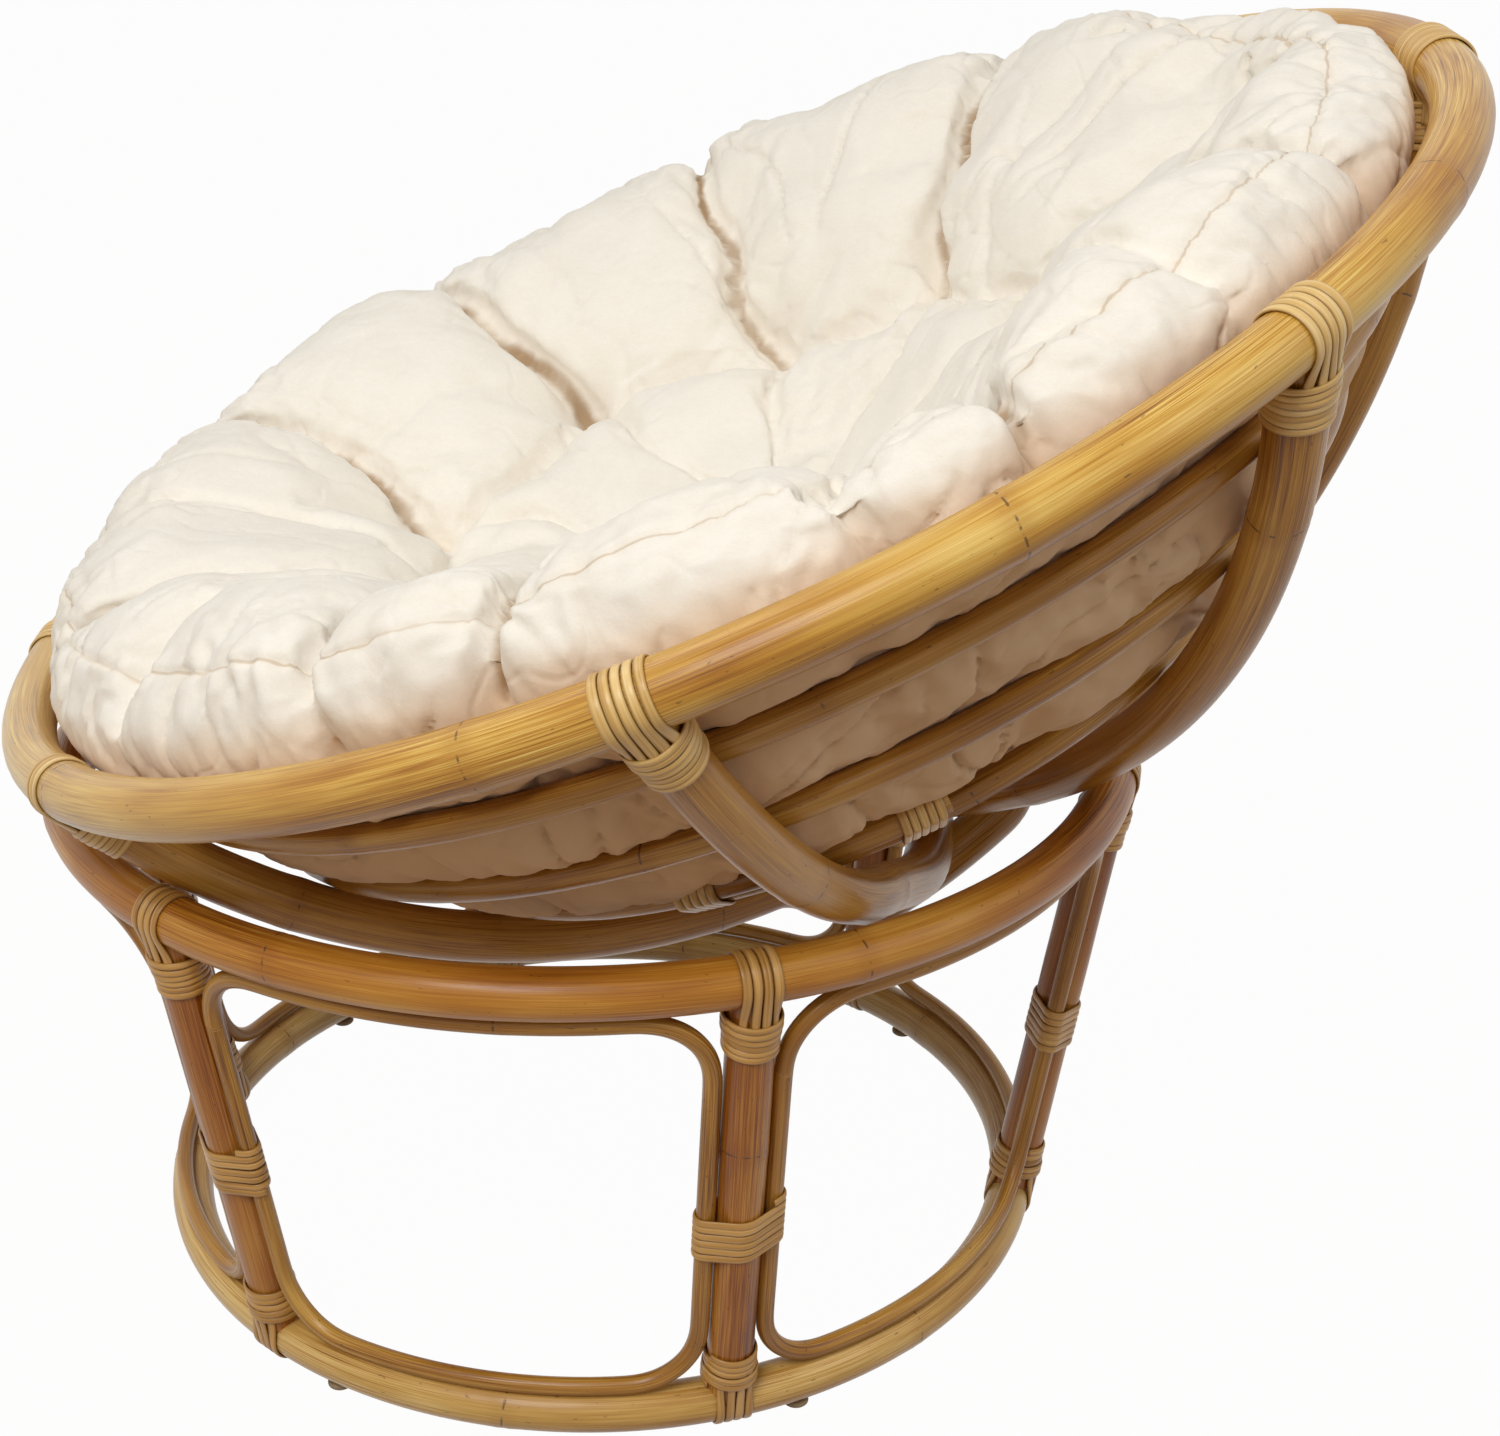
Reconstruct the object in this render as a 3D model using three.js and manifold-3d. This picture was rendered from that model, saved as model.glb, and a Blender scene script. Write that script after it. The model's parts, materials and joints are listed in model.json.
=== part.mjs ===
// A round lounge chair of cane poles: a ring base with lashed posts and bent panel hoops,
// and a loose bowl of a rim, four crossing ribs and three hoops that holds a round cushion.
// Millimetres, +Z up. +Y is the chair's back, the raised side of the bowl.
import * as THREE from 'three';
import { mergeVertices } from 'three/addons/utils/BufferGeometryUtils.js';
import Module from 'manifold-3d';

const wasm = await Module();
wasm.setup();

// Driving dimensions
const fit = { clearance: 0.3 };

const base = {
  upperRadius: 380.2,
  upperTube: 16.9,
  upperHeight: 379.3,
  lowerRadius: 324.4,
  lowerTube: 15.9,
  glideHeight: 6,
  postRadius: 16,
  postCount: 6,
  firstPostAngle: -44.5,
  postEndShare: 0.6,
  hoopTube: 6.4,
  hoopTopCorner: 50,
  hoopFootCorner: 45,
};

const glide = { radius: 9, angles: [24.5, 125.5, 225.5, 325.5] };
const glideProfileShares = [[0, 0], [0.6, 0], [1, 0.35], [1, 0.6], [0.7, 1], [0, 1]];

const bowl = {
  tilt: 23.35,
  rimRadius: 515,
  rimTube: 18.8,
  rimDepth: 204.3,
  ribTube: 17.5,
  hoopTube: 9.5,
};
// How far below the rim the hoops lie, as shares of the bowl's depth
const hoopDepthShares = [0.1887, 0.406, 0.629];

// Each rib: the way that it leaves the rim, how far its other end is turned from straight
// across, how far it passes from the bowl's middle, how far it is bent inwards (outwards where
// negative) at the crossing, and its turns of peel at each end. The base ring lies close under
// the far end of rib_d, which therefore has straps alone.
const ribs = [
  { name: 'rib_d', angle: 86, twist: 0, aside: -50, inward: 12, turns: [3, 0] },
  { name: 'rib_c', angle: 39, twist: -2.4, aside: 15, inward: -8, turns: [3, 3] },
  { name: 'rib_b', angle: -6, twist: -3, aside: 25, inward: -28, turns: [3, 3] },
  { name: 'rib_a', angle: -58.5, twist: 0, aside: 45, inward: -48, turns: [3, 3] },
];
// Where the bend of each rib starts and ends, as shares of the distance from the bowl's middle
// to the nearest point of the base's ring
const bendShares = {
  rib_d: [0, 1.257],
  rib_c: [0, 0.911],
  rib_b: [0.314, 1.572],
  rib_a: [0.314, 0.84],
};

const peel = { width: 6, thick: 1.4, pitch: 7.6, drop: 2.5 };
const headLashing = { turns: 3 };
const footLashing = { turns: 2 };
const midBinding = { turns: 5, heightShare: 0.42 };
const splice = { turns: 3, angles: [7.4, -18.8] };

const cushion = {
  thickness: 175,
  rollRise: 84,
  rimGap: 4.2,
  seatRadius: 270,
  tuftRing: 240,
  rollFoot: 345,
  foldDepth: 30,
  foldReach: 45,
  weakness: 25,
  tuftDepth: 20,
  tuftReach: 35,
};
// The folds: their angles at the ring of tufts, at the roll's foot and on its crest. The weak
// ones are shallower and have no tuft.
const folds = [
  { angles: [30, 24, 19] },
  { angles: [47, 42, 38], weak: true },
  { angles: [65, 61, 57] },
  { angles: [98, 95, 92] },
  { angles: [117, 119, 115], weak: true },
  { angles: [133, 138, 138] },
  { angles: [168, 172, 176] },
  { angles: [204, 204, 209] },
  { angles: [247, 236, 240] },
  { angles: [270, 264, 262], weak: true },
  { angles: [290, 288, 285] },
  { angles: [306, 308, 308], weak: true },
  { angles: [322, 328, 331] },
  { angles: [355, 350, 345] },
];
// The roll, from its outer side over its top to the edge of the seat, as shares of the width
// from the seat's edge, of the roll's rise and of the folds' depth
const rollShares = [
  [1, 0.05, 0.2], [1, 0.45, 0.5], [0.85, 0.85, 0.8],
  [0.7, 1, 1], [0.4, 0.6, 1], [0.15, 0.22, 1],
];
// The seat, as shares of its radius, of its dip and of the folds' depth
const dipShares = [[0.89, 0.19, 1], [0.6, 0.67, 1], [0.3, 0.97, 1]];

// Numbers of flats, which carry no size
const facets = {
  upperRing: [56, 8],
  lowerRing: [48, 8],
  rim: [64, 8],
  bowlHoop: [44, 6],
  rib: [34, 8],
  post: 10,
  panelHoop: 6,
  corner: 4,
  bow: 5,
  glide: 12,
  turn: 7,
  lobe: 4,
};

const colours = {
  pole: '#a9692f',
  darkPole: '#8f5526',
  thinPole: '#9c5f2b',
  peel: '#c79a55',
  glide: '#3a2c22',
  cloth: '#e6dccb',
};

const degrees = (angle) => THREE.MathUtils.degToRad(angle);

function finish(colour, roughness) {
  return new THREE.MeshStandardMaterial({ color: colour, roughness, metalness: 0 });
}

const materials = {
  pole: () => finish(colours.pole, 0.38),
  darkPole: () => finish(colours.darkPole, 0.42),
  thinPole: () => finish(colours.thinPole, 0.4),
  peel: () => finish(colours.peel, 0.5),
  glide: () => finish(colours.glide, 0.6),
  cloth: () => finish(colours.cloth, 0.95),
};

// Rows of points joined into one closed skin. An open skin gets a fan at each end, and a row
// of one point closes it to a tip.
function skin(rows, endless) {
  const points = rows.flat();
  const starts = [];
  let total = 0;
  for (const row of rows) {
    starts.push(total);
    total += row.length;
  }
  const faces = [];
  const strips = endless ? rows.length : rows.length - 1;
  for (let r = 0; r < strips; r += 1) {
    const next = (r + 1) % rows.length;
    const count = Math.max(rows[r].length, rows[next].length);
    for (let c = 0; c < count; c += 1) {
      const d = (c + 1) % count;
      const a0 = starts[r] + (rows[r].length > 1 ? c : 0);
      const a1 = starts[r] + (rows[r].length > 1 ? d : 0);
      const b0 = starts[next] + (rows[next].length > 1 ? c : 0);
      const b1 = starts[next] + (rows[next].length > 1 ? d : 0);
      if (a0 !== a1) {
        faces.push(a0, a1, b0);
      }
      if (b0 !== b1) {
        faces.push(a1, b1, b0);
      }
    }
  }
  if (!endless && rows[0].length > 1) {
    for (let c = 1; c < rows[0].length - 1; c += 1) {
      faces.push(starts[0], starts[0] + c + 1, starts[0] + c);
    }
  }
  const last = rows.length - 1;
  if (!endless && rows[last].length > 1) {
    for (let c = 1; c < rows[last].length - 1; c += 1) {
      faces.push(starts[last], starts[last] + c, starts[last] + c + 1);
    }
  }
  const geometry = new THREE.BufferGeometry();
  const places = points.flatMap((point) => point.toArray());
  geometry.setAttribute('position', new THREE.Float32BufferAttribute(places, 3));
  geometry.setIndex(faces);
  geometry.computeVertexNormals();
  return geometry;
}

// A station is a point of a path with the way out of what the path lies on.
function along(stations, index, endless) {
  const count = stations.length;
  const before = endless ? stations[(index + count - 1) % count] : stations[Math.max(index - 1, 0)];
  const after = endless ? stations[(index + 1) % count] : stations[Math.min(index + 1, count - 1)];
  return after.point.clone().sub(before.point).normalize();
}

// A section, given as pairs of lengths across and out, at one place of a path
function sectionAt(section, point, across, out) {
  return section.map(([x, y]) => point.clone().addScaledVector(across, x).addScaledVector(out, y));
}

// Carries a section along the stations.
function sweep(stations, section, endless) {
  const rows = stations.map((station, index) => {
    const way = along(stations, index, endless);
    const out = station.out.clone().addScaledVector(way, -station.out.dot(way)).normalize();
    const across = way.clone().cross(out);
    return sectionAt(section, station.point, across, out);
  });
  return skin(rows, endless);
}

function roundSection(radius, sides) {
  return Array.from({ length: sides }, (_, i) => {
    const angle = (-2 * Math.PI * i) / sides;
    return [radius * Math.cos(angle), radius * Math.sin(angle)];
  });
}

const peelSection = [
  [-peel.width / 2, -peel.thick / 2],
  [-peel.width / 2, peel.thick / 2],
  [peel.width / 2, peel.thick / 2],
  [peel.width / 2, -peel.thick / 2],
];

// How far the middle of a ring's or pole's flats lies inside its true arc
function flatDepth(radius, flats) {
  return radius * (1 - Math.cos(Math.PI / flats));
}

function ring(radius, tube, [around, sides]) {
  return new THREE.TorusGeometry(radius, tube, sides, around);
}

function solidOf(geometry) {
  const bare = geometry.clone();
  bare.deleteAttribute('normal');
  bare.deleteAttribute('uv');
  const merged = mergeVertices(bare);
  return new wasm.Manifold(new wasm.Mesh({
    numProp: 3,
    vertProperties: Float32Array.from(merged.attributes.position.array),
    triVerts: Uint32Array.from(merged.index.array),
  }));
}

function geometryOf(solid) {
  const mesh = solid.getMesh();
  const geometry = new THREE.BufferGeometry();
  const places = Float32Array.from(mesh.vertProperties);
  geometry.setAttribute('position', new THREE.BufferAttribute(places, 3));
  geometry.setIndex(new THREE.BufferAttribute(Uint32Array.from(mesh.triVerts), 1));
  geometry.computeVertexNormals();
  return geometry;
}

// Cuts a piece and drops the shavings.
function cut(geometry, cutters) {
  const left = cutters.reduce((solid, cutter) => solid.subtract(solidOf(cutter)), solidOf(geometry));
  const [piece] = left.decompose().sort((a, b) => b.volume() - a.volume());
  return geometryOf(piece);
}

function add(group, name, geometry, material) {
  const mesh = new THREE.Mesh(geometry, material);
  mesh.name = name;
  group.add(mesh);
  return mesh;
}

// Measures how near a winding comes to itself, on points along its four edges.
const gapSteps = 4;
let leastGap = Infinity;

function measureGap(stations) {
  const rows = [];
  for (let i = 0; i < stations.length - 1; i += 1) {
    for (let k = 0; k < gapSteps; k += 1) {
      const point = stations[i].point.clone().lerp(stations[i + 1].point, k / gapSteps);
      const way = along(stations, i, false);
      const out = stations[i].out.clone().lerp(stations[i + 1].out, k / gapSteps).normalize();
      const across = way.cross(out).normalize();
      rows.push(sectionAt(peelSection, point, across, out));
    }
  }
  const apart = 2 * gapSteps + 1;
  for (let i = 0; i < rows.length; i += 1) {
    for (let j = i + apart; j < rows.length; j += 1) {
      for (const p of rows[i]) {
        for (const q of rows[j]) {
          leastGap = Math.min(leastGap, p.distanceTo(q));
        }
      }
    }
  }
}

function windingOf(stations) {
  measureGap(stations);
  return sweep(stations, peelSection, false);
}

// A frame has a centre on a pole, the way out of the ring's circle, the way along the ring and
// the way down the pole.
function turnStation(frame, angle, radius) {
  const out = frame.out.clone().multiplyScalar(Math.cos(angle));
  out.addScaledVector(frame.side, Math.sin(angle));
  return { point: frame.centre.clone().addScaledVector(out, radius), out };
}

const strap = { steps: 5, step: Math.PI / 4 };

// One strip of peel that ties a pole to the ring which crosses its end: two straps go over the
// ring and turn back behind the pole, then the strip bends round and winds down the pole.
// frameAt gives the frame at a distance from the ring, which is the ring's own frame at zero.
// Slack is room for the flats of the ring and the pole, and middle is where the straps' middle
// lies round the ring's tube.

function lashing(frameAt, ringTube, poleRadius, turns, slack, middle) {
  const lift = fit.clearance + peel.thick / 2;
  const half = peel.pitch / 2;
  const low = ringTube + peel.drop + half;
  const onRing = (ringTube + lift + slack.ring) / Math.cos(strap.step / 2);
  const bare = poleRadius + slack.pole + fit.clearance;
  const round = bare / Math.cos(Math.PI / facets.turn) + peel.thick / 2;
  const onPole = Math.sqrt(round ** 2 - half ** 2);
  const stations = [];

  const poleStation = (distance, sign, offset) => {
    const frame = frameAt(distance);
    const out = frame.out.clone().multiplyScalar(sign);
    const point = frame.centre.clone().addScaledVector(out, onPole).addScaledVector(frame.side, offset);
    stations.push({ point, out });
  };
  const ringStation = (angle, offset) => {
    const frame = frameAt(0);
    const out = frame.out.clone().multiplyScalar(Math.cos(angle));
    out.addScaledVector(frame.down, -Math.sin(angle));
    const point = frame.centre.clone().addScaledVector(out, onRing).addScaledVector(frame.side, offset);
    stations.push({ point, out });
  };
  const strapAt = (offset, sign) => {
    poleStation(low, sign, offset);
    for (let i = 0; i < strap.steps; i += 1) {
      ringStation(middle + sign * strap.step * (i - (strap.steps - 1) / 2), offset);
    }
    poleStation(low, -sign, offset);
  };

  strapAt(-half, 1);
  poleStation(low + half, -1, 0);
  strapAt(half, -1);
  for (let i = 1; i <= turns * facets.turn; i += 1) {
    const frame = frameAt(low + peel.pitch * (1 + i / facets.turn));
    stations.push(turnStation(frame, (2 * Math.PI * i) / facets.turn, round));
  }
  return windingOf(stations);
}

// A plain helix of peel round a round pole
function helix(frameAt, radius, turns) {
  const round = (radius + fit.clearance) / Math.cos(Math.PI / facets.turn) + peel.thick / 2;
  const stations = [];
  for (let i = 0; i <= turns * facets.turn; i += 1) {
    const frame = frameAt((i / facets.turn - turns / 2) * peel.pitch);
    stations.push(turnStation(frame, (2 * Math.PI * i) / facets.turn, round));
  }
  return windingOf(stations);
}

// Base

const lowerHeight = base.glideHeight + base.lowerTube;
const rise = base.upperHeight - lowerHeight;
const flare = base.upperRadius - base.lowerRadius;
const postLength = Math.hypot(rise, flare);
const coneRadius = (height) => base.lowerRadius + (flare * (height - lowerHeight)) / rise;
const besidePost = base.postRadius + fit.clearance + base.hoopTube;

function polar(radius, angle, height) {
  return new THREE.Vector3(radius * Math.cos(angle), radius * Math.sin(angle), height);
}

function postAngle(index) {
  return degrees(base.firstPostAngle) + (2 * Math.PI * index) / base.postCount;
}

// Ways at a post: up along it, out across it and round the base
function postWays(index) {
  const angle = postAngle(index);
  const foot = polar(base.lowerRadius, angle, lowerHeight);
  const head = polar(base.upperRadius, angle, base.upperHeight);
  const up = head.clone().sub(foot).normalize();
  const side = new THREE.Vector3(-Math.sin(angle), Math.cos(angle), 0);
  const out = side.clone().cross(up).normalize();
  return { foot, head, up, side, out };
}

function postGeometry(index) {
  const { foot, head, up } = postWays(index);
  const start = foot.clone().addScaledVector(up, base.lowerTube * base.postEndShare);
  const end = head.clone().addScaledVector(up, -base.upperTube * base.postEndShare);
  const length = start.distanceTo(end);
  const geometry = new THREE.CylinderGeometry(base.postRadius, base.postRadius, length, facets.post);
  geometry.applyQuaternion(new THREE.Quaternion().setFromUnitVectors(new THREE.Vector3(0, 1, 0), up));
  const middle = start.clone().lerp(end, 0.5);
  geometry.translate(middle.x, middle.y, middle.z);
  const upper = ring(base.upperRadius, base.upperTube + fit.clearance, facets.upperRing);
  upper.translate(0, 0, base.upperHeight);
  const lower = ring(base.lowerRadius, base.lowerTube + fit.clearance, facets.lowerRing);
  lower.translate(0, 0, lowerHeight);
  return cut(geometry, [upper, lower]);
}

// A thin pole bent into a rounded panel between two posts, on the cone that the posts lie on
function panelHoopGeometry(index) {
  const top = base.upperHeight - base.upperTube - fit.clearance - base.hoopTube;
  const bottom = lowerHeight + base.lowerTube + fit.clearance + base.hoopTube;
  const left = postAngle(index);
  const right = postAngle(index + 1);
  const stations = [];
  const put = (height, angle) => {
    const out = polar(Math.cos(postLean), angle, -Math.sin(postLean));
    stations.push({ point: polar(Math.hypot(coneRadius(height), besidePost), angle, height), out });
  };
  const corner = (turn, radius, level, sign, from) => {
    const height = level - sign * radius * (1 - Math.sin(turn));
    const reach = coneRadius(height);
    const inset = Math.atan(besidePost / reach) + (radius * (1 - Math.cos(turn))) / reach;
    return { height, angle: from === left ? left + inset : right - inset };
  };
  const quarter = (radius, level, sign, from, leaving) => {
    for (let i = 0; i <= facets.corner; i += 1) {
      const share = leaving ? 1 - i / facets.corner : i / facets.corner;
      const place = corner((share * Math.PI) / 2, radius, level, sign, from);
      put(place.height, place.angle);
    }
  };
  const bow = (height) => {
    const start = stations[stations.length - 1].point;
    const startAngle = Math.atan2(start.y, start.x);
    const middle = (left + right) / 2;
    const from = startAngle + 2 * Math.PI * Math.round((middle - startAngle) / (2 * Math.PI));
    for (let i = 1; i < facets.bow; i += 1) {
      put(height, from + (2 * (middle - from) * i) / facets.bow);
    }
  };
  quarter(base.hoopTopCorner, top, 1, left, false);
  bow(top);
  quarter(base.hoopTopCorner, top, 1, right, true);
  quarter(base.hoopFootCorner, bottom, -1, right, false);
  bow(bottom);
  quarter(base.hoopFootCorner, bottom, -1, left, true);
  return sweep(stations, roundSection(base.hoopTube, facets.panelHoop), true);
}

// A strip wound round a post and the two panel sides beside it
function midBindingGeometry(index) {
  const { foot, up, side, out } = postWays(index);
  const lift = fit.clearance + peel.thick / 2;
  const big = base.postRadius + lift;
  const small = base.hoopTube + lift;
  const lean = Math.asin((big - small) / besidePost);
  const flat = big * Math.tan(lean / 2);
  const end = besidePost + small;
  const shoulder = (big - Math.sin(lean) * end) / Math.cos(lean);
  const turned = (lean + Math.PI / 2) / 2;
  const outline = [
    [flat, big, lean / 2],
    [end, shoulder, turned],
    [end, -shoulder, Math.PI - turned],
    [flat, -big, Math.PI - lean / 2],
    [-flat, -big, Math.PI + lean / 2],
    [-end, -shoulder, Math.PI + turned],
    [-end, shoulder, -turned],
    [-flat, big, -lean / 2],
  ];
  const steps = midBinding.turns * outline.length;
  const stations = [];
  for (let i = 0; i <= steps; i += 1) {
    const [x, y, facing] = outline[i % outline.length];
    const climb = (i / outline.length - midBinding.turns / 2) * peel.pitch;
    const point = foot.clone().addScaledVector(up, midBinding.heightShare * postLength + climb);
    point.addScaledVector(side, x).addScaledVector(out, y);
    const away = side.clone().multiplyScalar(Math.sin(facing)).addScaledVector(out, Math.cos(facing));
    stations.push({ point, out: away });
  }
  return windingOf(stations);
}

function headFrame(index) {
  const { head, up, side, out } = postWays(index);
  const down = up.clone().negate();
  return (distance) => ({ centre: head.clone().addScaledVector(down, distance), out, side, down });
}

function footFrame(index) {
  const { foot, up, side, out } = postWays(index);
  const turned = side.clone().negate();
  const centreAt = (distance) => foot.clone().addScaledVector(up, distance);
  return (distance) => ({ centre: centreAt(distance), out, side: turned, down: up });
}

// A domed cap under the lower ring
function glideGeometry(angle) {
  const height = base.glideHeight - fit.clearance;
  const profile = glideProfileShares.map(([x, y]) => new THREE.Vector2(x * glide.radius, y * height));
  const cap = new THREE.LatheGeometry(profile, facets.glide);
  cap.rotateX(Math.PI / 2);
  const place = polar(base.lowerRadius, degrees(angle), 0);
  cap.translate(place.x, place.y, 0);
  return cap;
}

// The ribs lie on a sphere through the middle of the rim, and rest on the straps of the base
const upperSag = flatDepth(base.upperRadius, facets.upperRing[0]);
const strapTop = base.upperTube + upperSag + fit.clearance + peel.thick;
const ribSphere = Math.hypot(bowl.rimRadius, bowl.rimDepth);
const touch = ribSphere + bowl.ribTube + fit.clearance + strapTop;
const sphereHeight = base.upperHeight + Math.sqrt(touch ** 2 - base.upperRadius ** 2);
const seatTurn = Math.asin(base.upperRadius / touch);
const ringNear = ribSphere * Math.sin(seatTurn - degrees(bowl.tilt));
// The middle of the head straps, from square outwards of a post: a strap lies flat where it
// faces the sphere's middle.
const postLean = Math.atan2(flare, rise);
const flatWay = seatTurn + postLean - strap.step / 2;
const seatWay = Math.PI / 2 + flatWay - strap.step * Math.round(flatWay / strap.step);

const chair = new THREE.Group();
const stand = new THREE.Group();
chair.add(stand);

const upperTorus = ring(base.upperRadius, base.upperTube, facets.upperRing);
add(stand, 'upper_ring', upperTorus, materials.pole()).position.z = base.upperHeight;
const lowerTorus = ring(base.lowerRadius, base.lowerTube, facets.lowerRing);
add(stand, 'lower_ring', lowerTorus, materials.pole()).position.z = lowerHeight;

const upperSlack = { ring: upperSag, pole: 0 };
const lowerSlack = { ring: flatDepth(base.lowerRadius, facets.lowerRing[0]), pole: 0 };

for (let i = 0; i < base.postCount; i += 1) {
  const label = i + 1;
  const { upperTube, lowerTube, postRadius } = base;
  add(stand, `post_${label}`, postGeometry(i), materials.darkPole());
  add(stand, `panel_hoop_${label}`, panelHoopGeometry(i), materials.thinPole());
  add(stand, `mid_binding_${label}`, midBindingGeometry(i), materials.peel());
  const head = lashing(headFrame(i), upperTube, postRadius, headLashing.turns, upperSlack, seatWay);
  add(stand, `head_lashing_${label}`, head, materials.peel());
  const foot = lashing(footFrame(i), lowerTube, postRadius, footLashing.turns, lowerSlack, Math.PI / 2);
  add(stand, `foot_lashing_${label}`, foot, materials.peel());
}

glide.angles.forEach((angle, i) => {
  add(stand, `glide_${i + 1}`, glideGeometry(angle), materials.glide());
});

// Bowl, drawn round the centre of the sphere that its ribs lie on

const seat = new THREE.Group();
seat.position.z = sphereHeight;
seat.rotation.x = degrees(bowl.tilt);
chair.add(seat);

class RibCurve extends THREE.Curve {
  constructor(rib) {
    super();
    this.rib = rib;
  }

  getPoint(share, target = new THREE.Vector3()) {
    const { name, angle, twist, aside, inward } = this.rib;
    const [start, end] = bendShares[name].map((part) => part * ringNear);
    const limit = Math.acos(bowl.rimDepth / ribSphere);
    const turn = limit * (1 - 2 * share);
    const radius = ribSphere * Math.sin(turn);
    const offset = aside * Math.cos(((turn / limit) * Math.PI) / 2);
    const heading = degrees(angle + twist * share);
    target.set(
      radius * Math.cos(heading) - offset * Math.sin(heading),
      radius * Math.sin(heading) + offset * Math.cos(heading),
      -ribSphere * Math.cos(turn),
    );
    const past = THREE.MathUtils.clamp((Math.abs(radius) - start) / (end - start), 0, 1);
    const bend = inward * Math.cos((past * Math.PI) / 2) ** 2;
    return target.setLength(ribSphere - bend);
  }
}

function ribTube(rib, radius) {
  const [steps, sides] = facets.rib;
  const section = new THREE.Shape(roundSection(radius, sides).map(([x, y]) => new THREE.Vector2(x, y)));
  const extrudePath = new RibCurve(rib);
  return new THREE.ExtrudeGeometry(section, { steps, extrudePath, bevelEnabled: false });
}

const rim = ring(bowl.rimRadius, bowl.rimTube, facets.rim);
add(seat, 'rim', rim, materials.pole()).position.z = -bowl.rimDepth;
const rimCutter = ring(bowl.rimRadius, bowl.rimTube + fit.clearance, facets.rim);
rimCutter.translate(0, 0, -bowl.rimDepth);

ribs.forEach((rib, order) => {
  const inner = ribs.slice(0, order).map((other) => ribTube(other, bowl.ribTube + fit.clearance));
  add(seat, rib.name, cut(ribTube(rib, bowl.ribTube), [rimCutter, ...inner]), materials.darkPole());
});

const hoopSphere = ribSphere - bowl.ribTube - fit.clearance - bowl.hoopTube;
const hoopDepths = hoopDepthShares.map((share) => share * (ribSphere - bowl.rimDepth));
const hoopRadius = (depth) => Math.sqrt(hoopSphere ** 2 - (bowl.rimDepth + depth) ** 2);

hoopDepths.forEach((depth, i) => {
  const hoop = ring(hoopRadius(depth), bowl.hoopTube, facets.bowlHoop);
  add(seat, `bowl_hoop_${i + 1}`, hoop, materials.thinPole()).position.z = -bowl.rimDepth - depth;
});

// The frame at a rib's end: the pole leaves the rim downwards, and out is away from the sphere
function ribFrame(rib, fromEnd) {
  const curve = new RibCurve(rib);
  const length = curve.getLength();
  const start = curve.getPointAt(fromEnd ? 1 : 0);
  const round = polar(1, Math.atan2(start.y, start.x) + Math.PI / 2, 0);
  return (distance) => {
    const share = fromEnd ? 1 - distance / length : distance / length;
    const centre = curve.getPointAt(share);
    const down = curve.getTangentAt(share).multiplyScalar(fromEnd ? -1 : 1);
    const side = round.clone();
    if (distance > 0) side.addScaledVector(down, -side.dot(down)).normalize();
    down.addScaledVector(side, -down.dot(side)).normalize();
    const out = side.clone().cross(down).normalize();
    return { centre, out, side, down };
  };
}

const ribStep = (2 * Math.acos(bowl.rimDepth / ribSphere)) / facets.rib[0];
const ribSlack = {
  ring: flatDepth(bowl.rimRadius, facets.rim[0]),
  pole: flatDepth(ribSphere, (2 * Math.PI) / ribStep),
};

ribs.forEach((rib) => {
  rib.turns.forEach((turns, end) => {
    const frame = ribFrame(rib, end === 1);
    const geometry = lashing(frame, bowl.rimTube, bowl.ribTube, turns, ribSlack, Math.PI / 2);
    add(seat, `${rib.name}_lashing_${end + 1}`, geometry, materials.peel());
  });
});

const lastHoop = hoopDepths[hoopDepths.length - 1];
const spliceTube = bowl.hoopTube + flatDepth(hoopRadius(lastHoop), facets.bowlHoop[0]);

splice.angles.forEach((angle, i) => {
  const radius = hoopRadius(lastHoop);
  const frameAt = (distance) => {
    const turn = degrees(angle) + distance / radius;
    const side = new THREE.Vector3(0, 0, 1);
    return { centre: polar(radius, turn, -bowl.rimDepth - lastHoop), out: polar(1, turn, 0), side };
  };
  add(seat, `hoop_splice_${i + 1}`, helix(frameAt, spliceTube, splice.turns), materials.peel());
});

// Cushion: a thick round pad that rests on the hoops, with a raised roll round its edge. Tufts
// draw it in, and folds run from them over the roll and, less deep, across the seat.

const outerRadius = bowl.rimRadius - bowl.rimTube - cushion.rimGap;
const foldRadii = [cushion.tuftRing, cushion.rollFoot, outerRadius];
const tuftPlaces = folds.filter(({ weak }) => !weak)
  .map(({ angles }) => polar(cushion.tuftRing, degrees(angles[0]), 0));

// The folds' lines seen from above, each with what it counts as further away
function foldLines() {
  const lines = [];
  const draw = (from, to, slack) => lines.push({ line: new THREE.Line3(from, to), slack });
  for (const { angles, weak } of folds) {
    const [tuft, foot, crest] = angles.map((angle, i) => polar(foldRadii[i], degrees(angle), 0));
    const slack = weak ? cushion.weakness : 0;
    draw(tuft, foot, slack);
    draw(foot, crest, slack);
  }
  tuftPlaces.forEach((tuft, i) => {
    draw(tuft, tuftPlaces[(i + 1) % tuftPlaces.length], cushion.weakness);
    draw(tuft, new THREE.Vector3(), cushion.weakness);
  });
  return lines;
}

// How far the cover is drawn in above a point of the plan
function drawnIn(place, lines) {
  const nearest = new THREE.Vector3();
  const away = lines.map(({ line, slack }) => {
    line.closestPointToPoint(place, true, nearest);
    return slack + nearest.distanceTo(place);
  });
  const fold = cushion.foldDepth * Math.exp(-Math.min(...away) / cushion.foldReach);
  const tuft = Math.min(place.length(), ...tuftPlaces.map((spot) => spot.distanceTo(place)));
  return fold + cushion.tuftDepth * Math.exp(-((tuft / cushion.tuftReach) ** 2));
}

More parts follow.
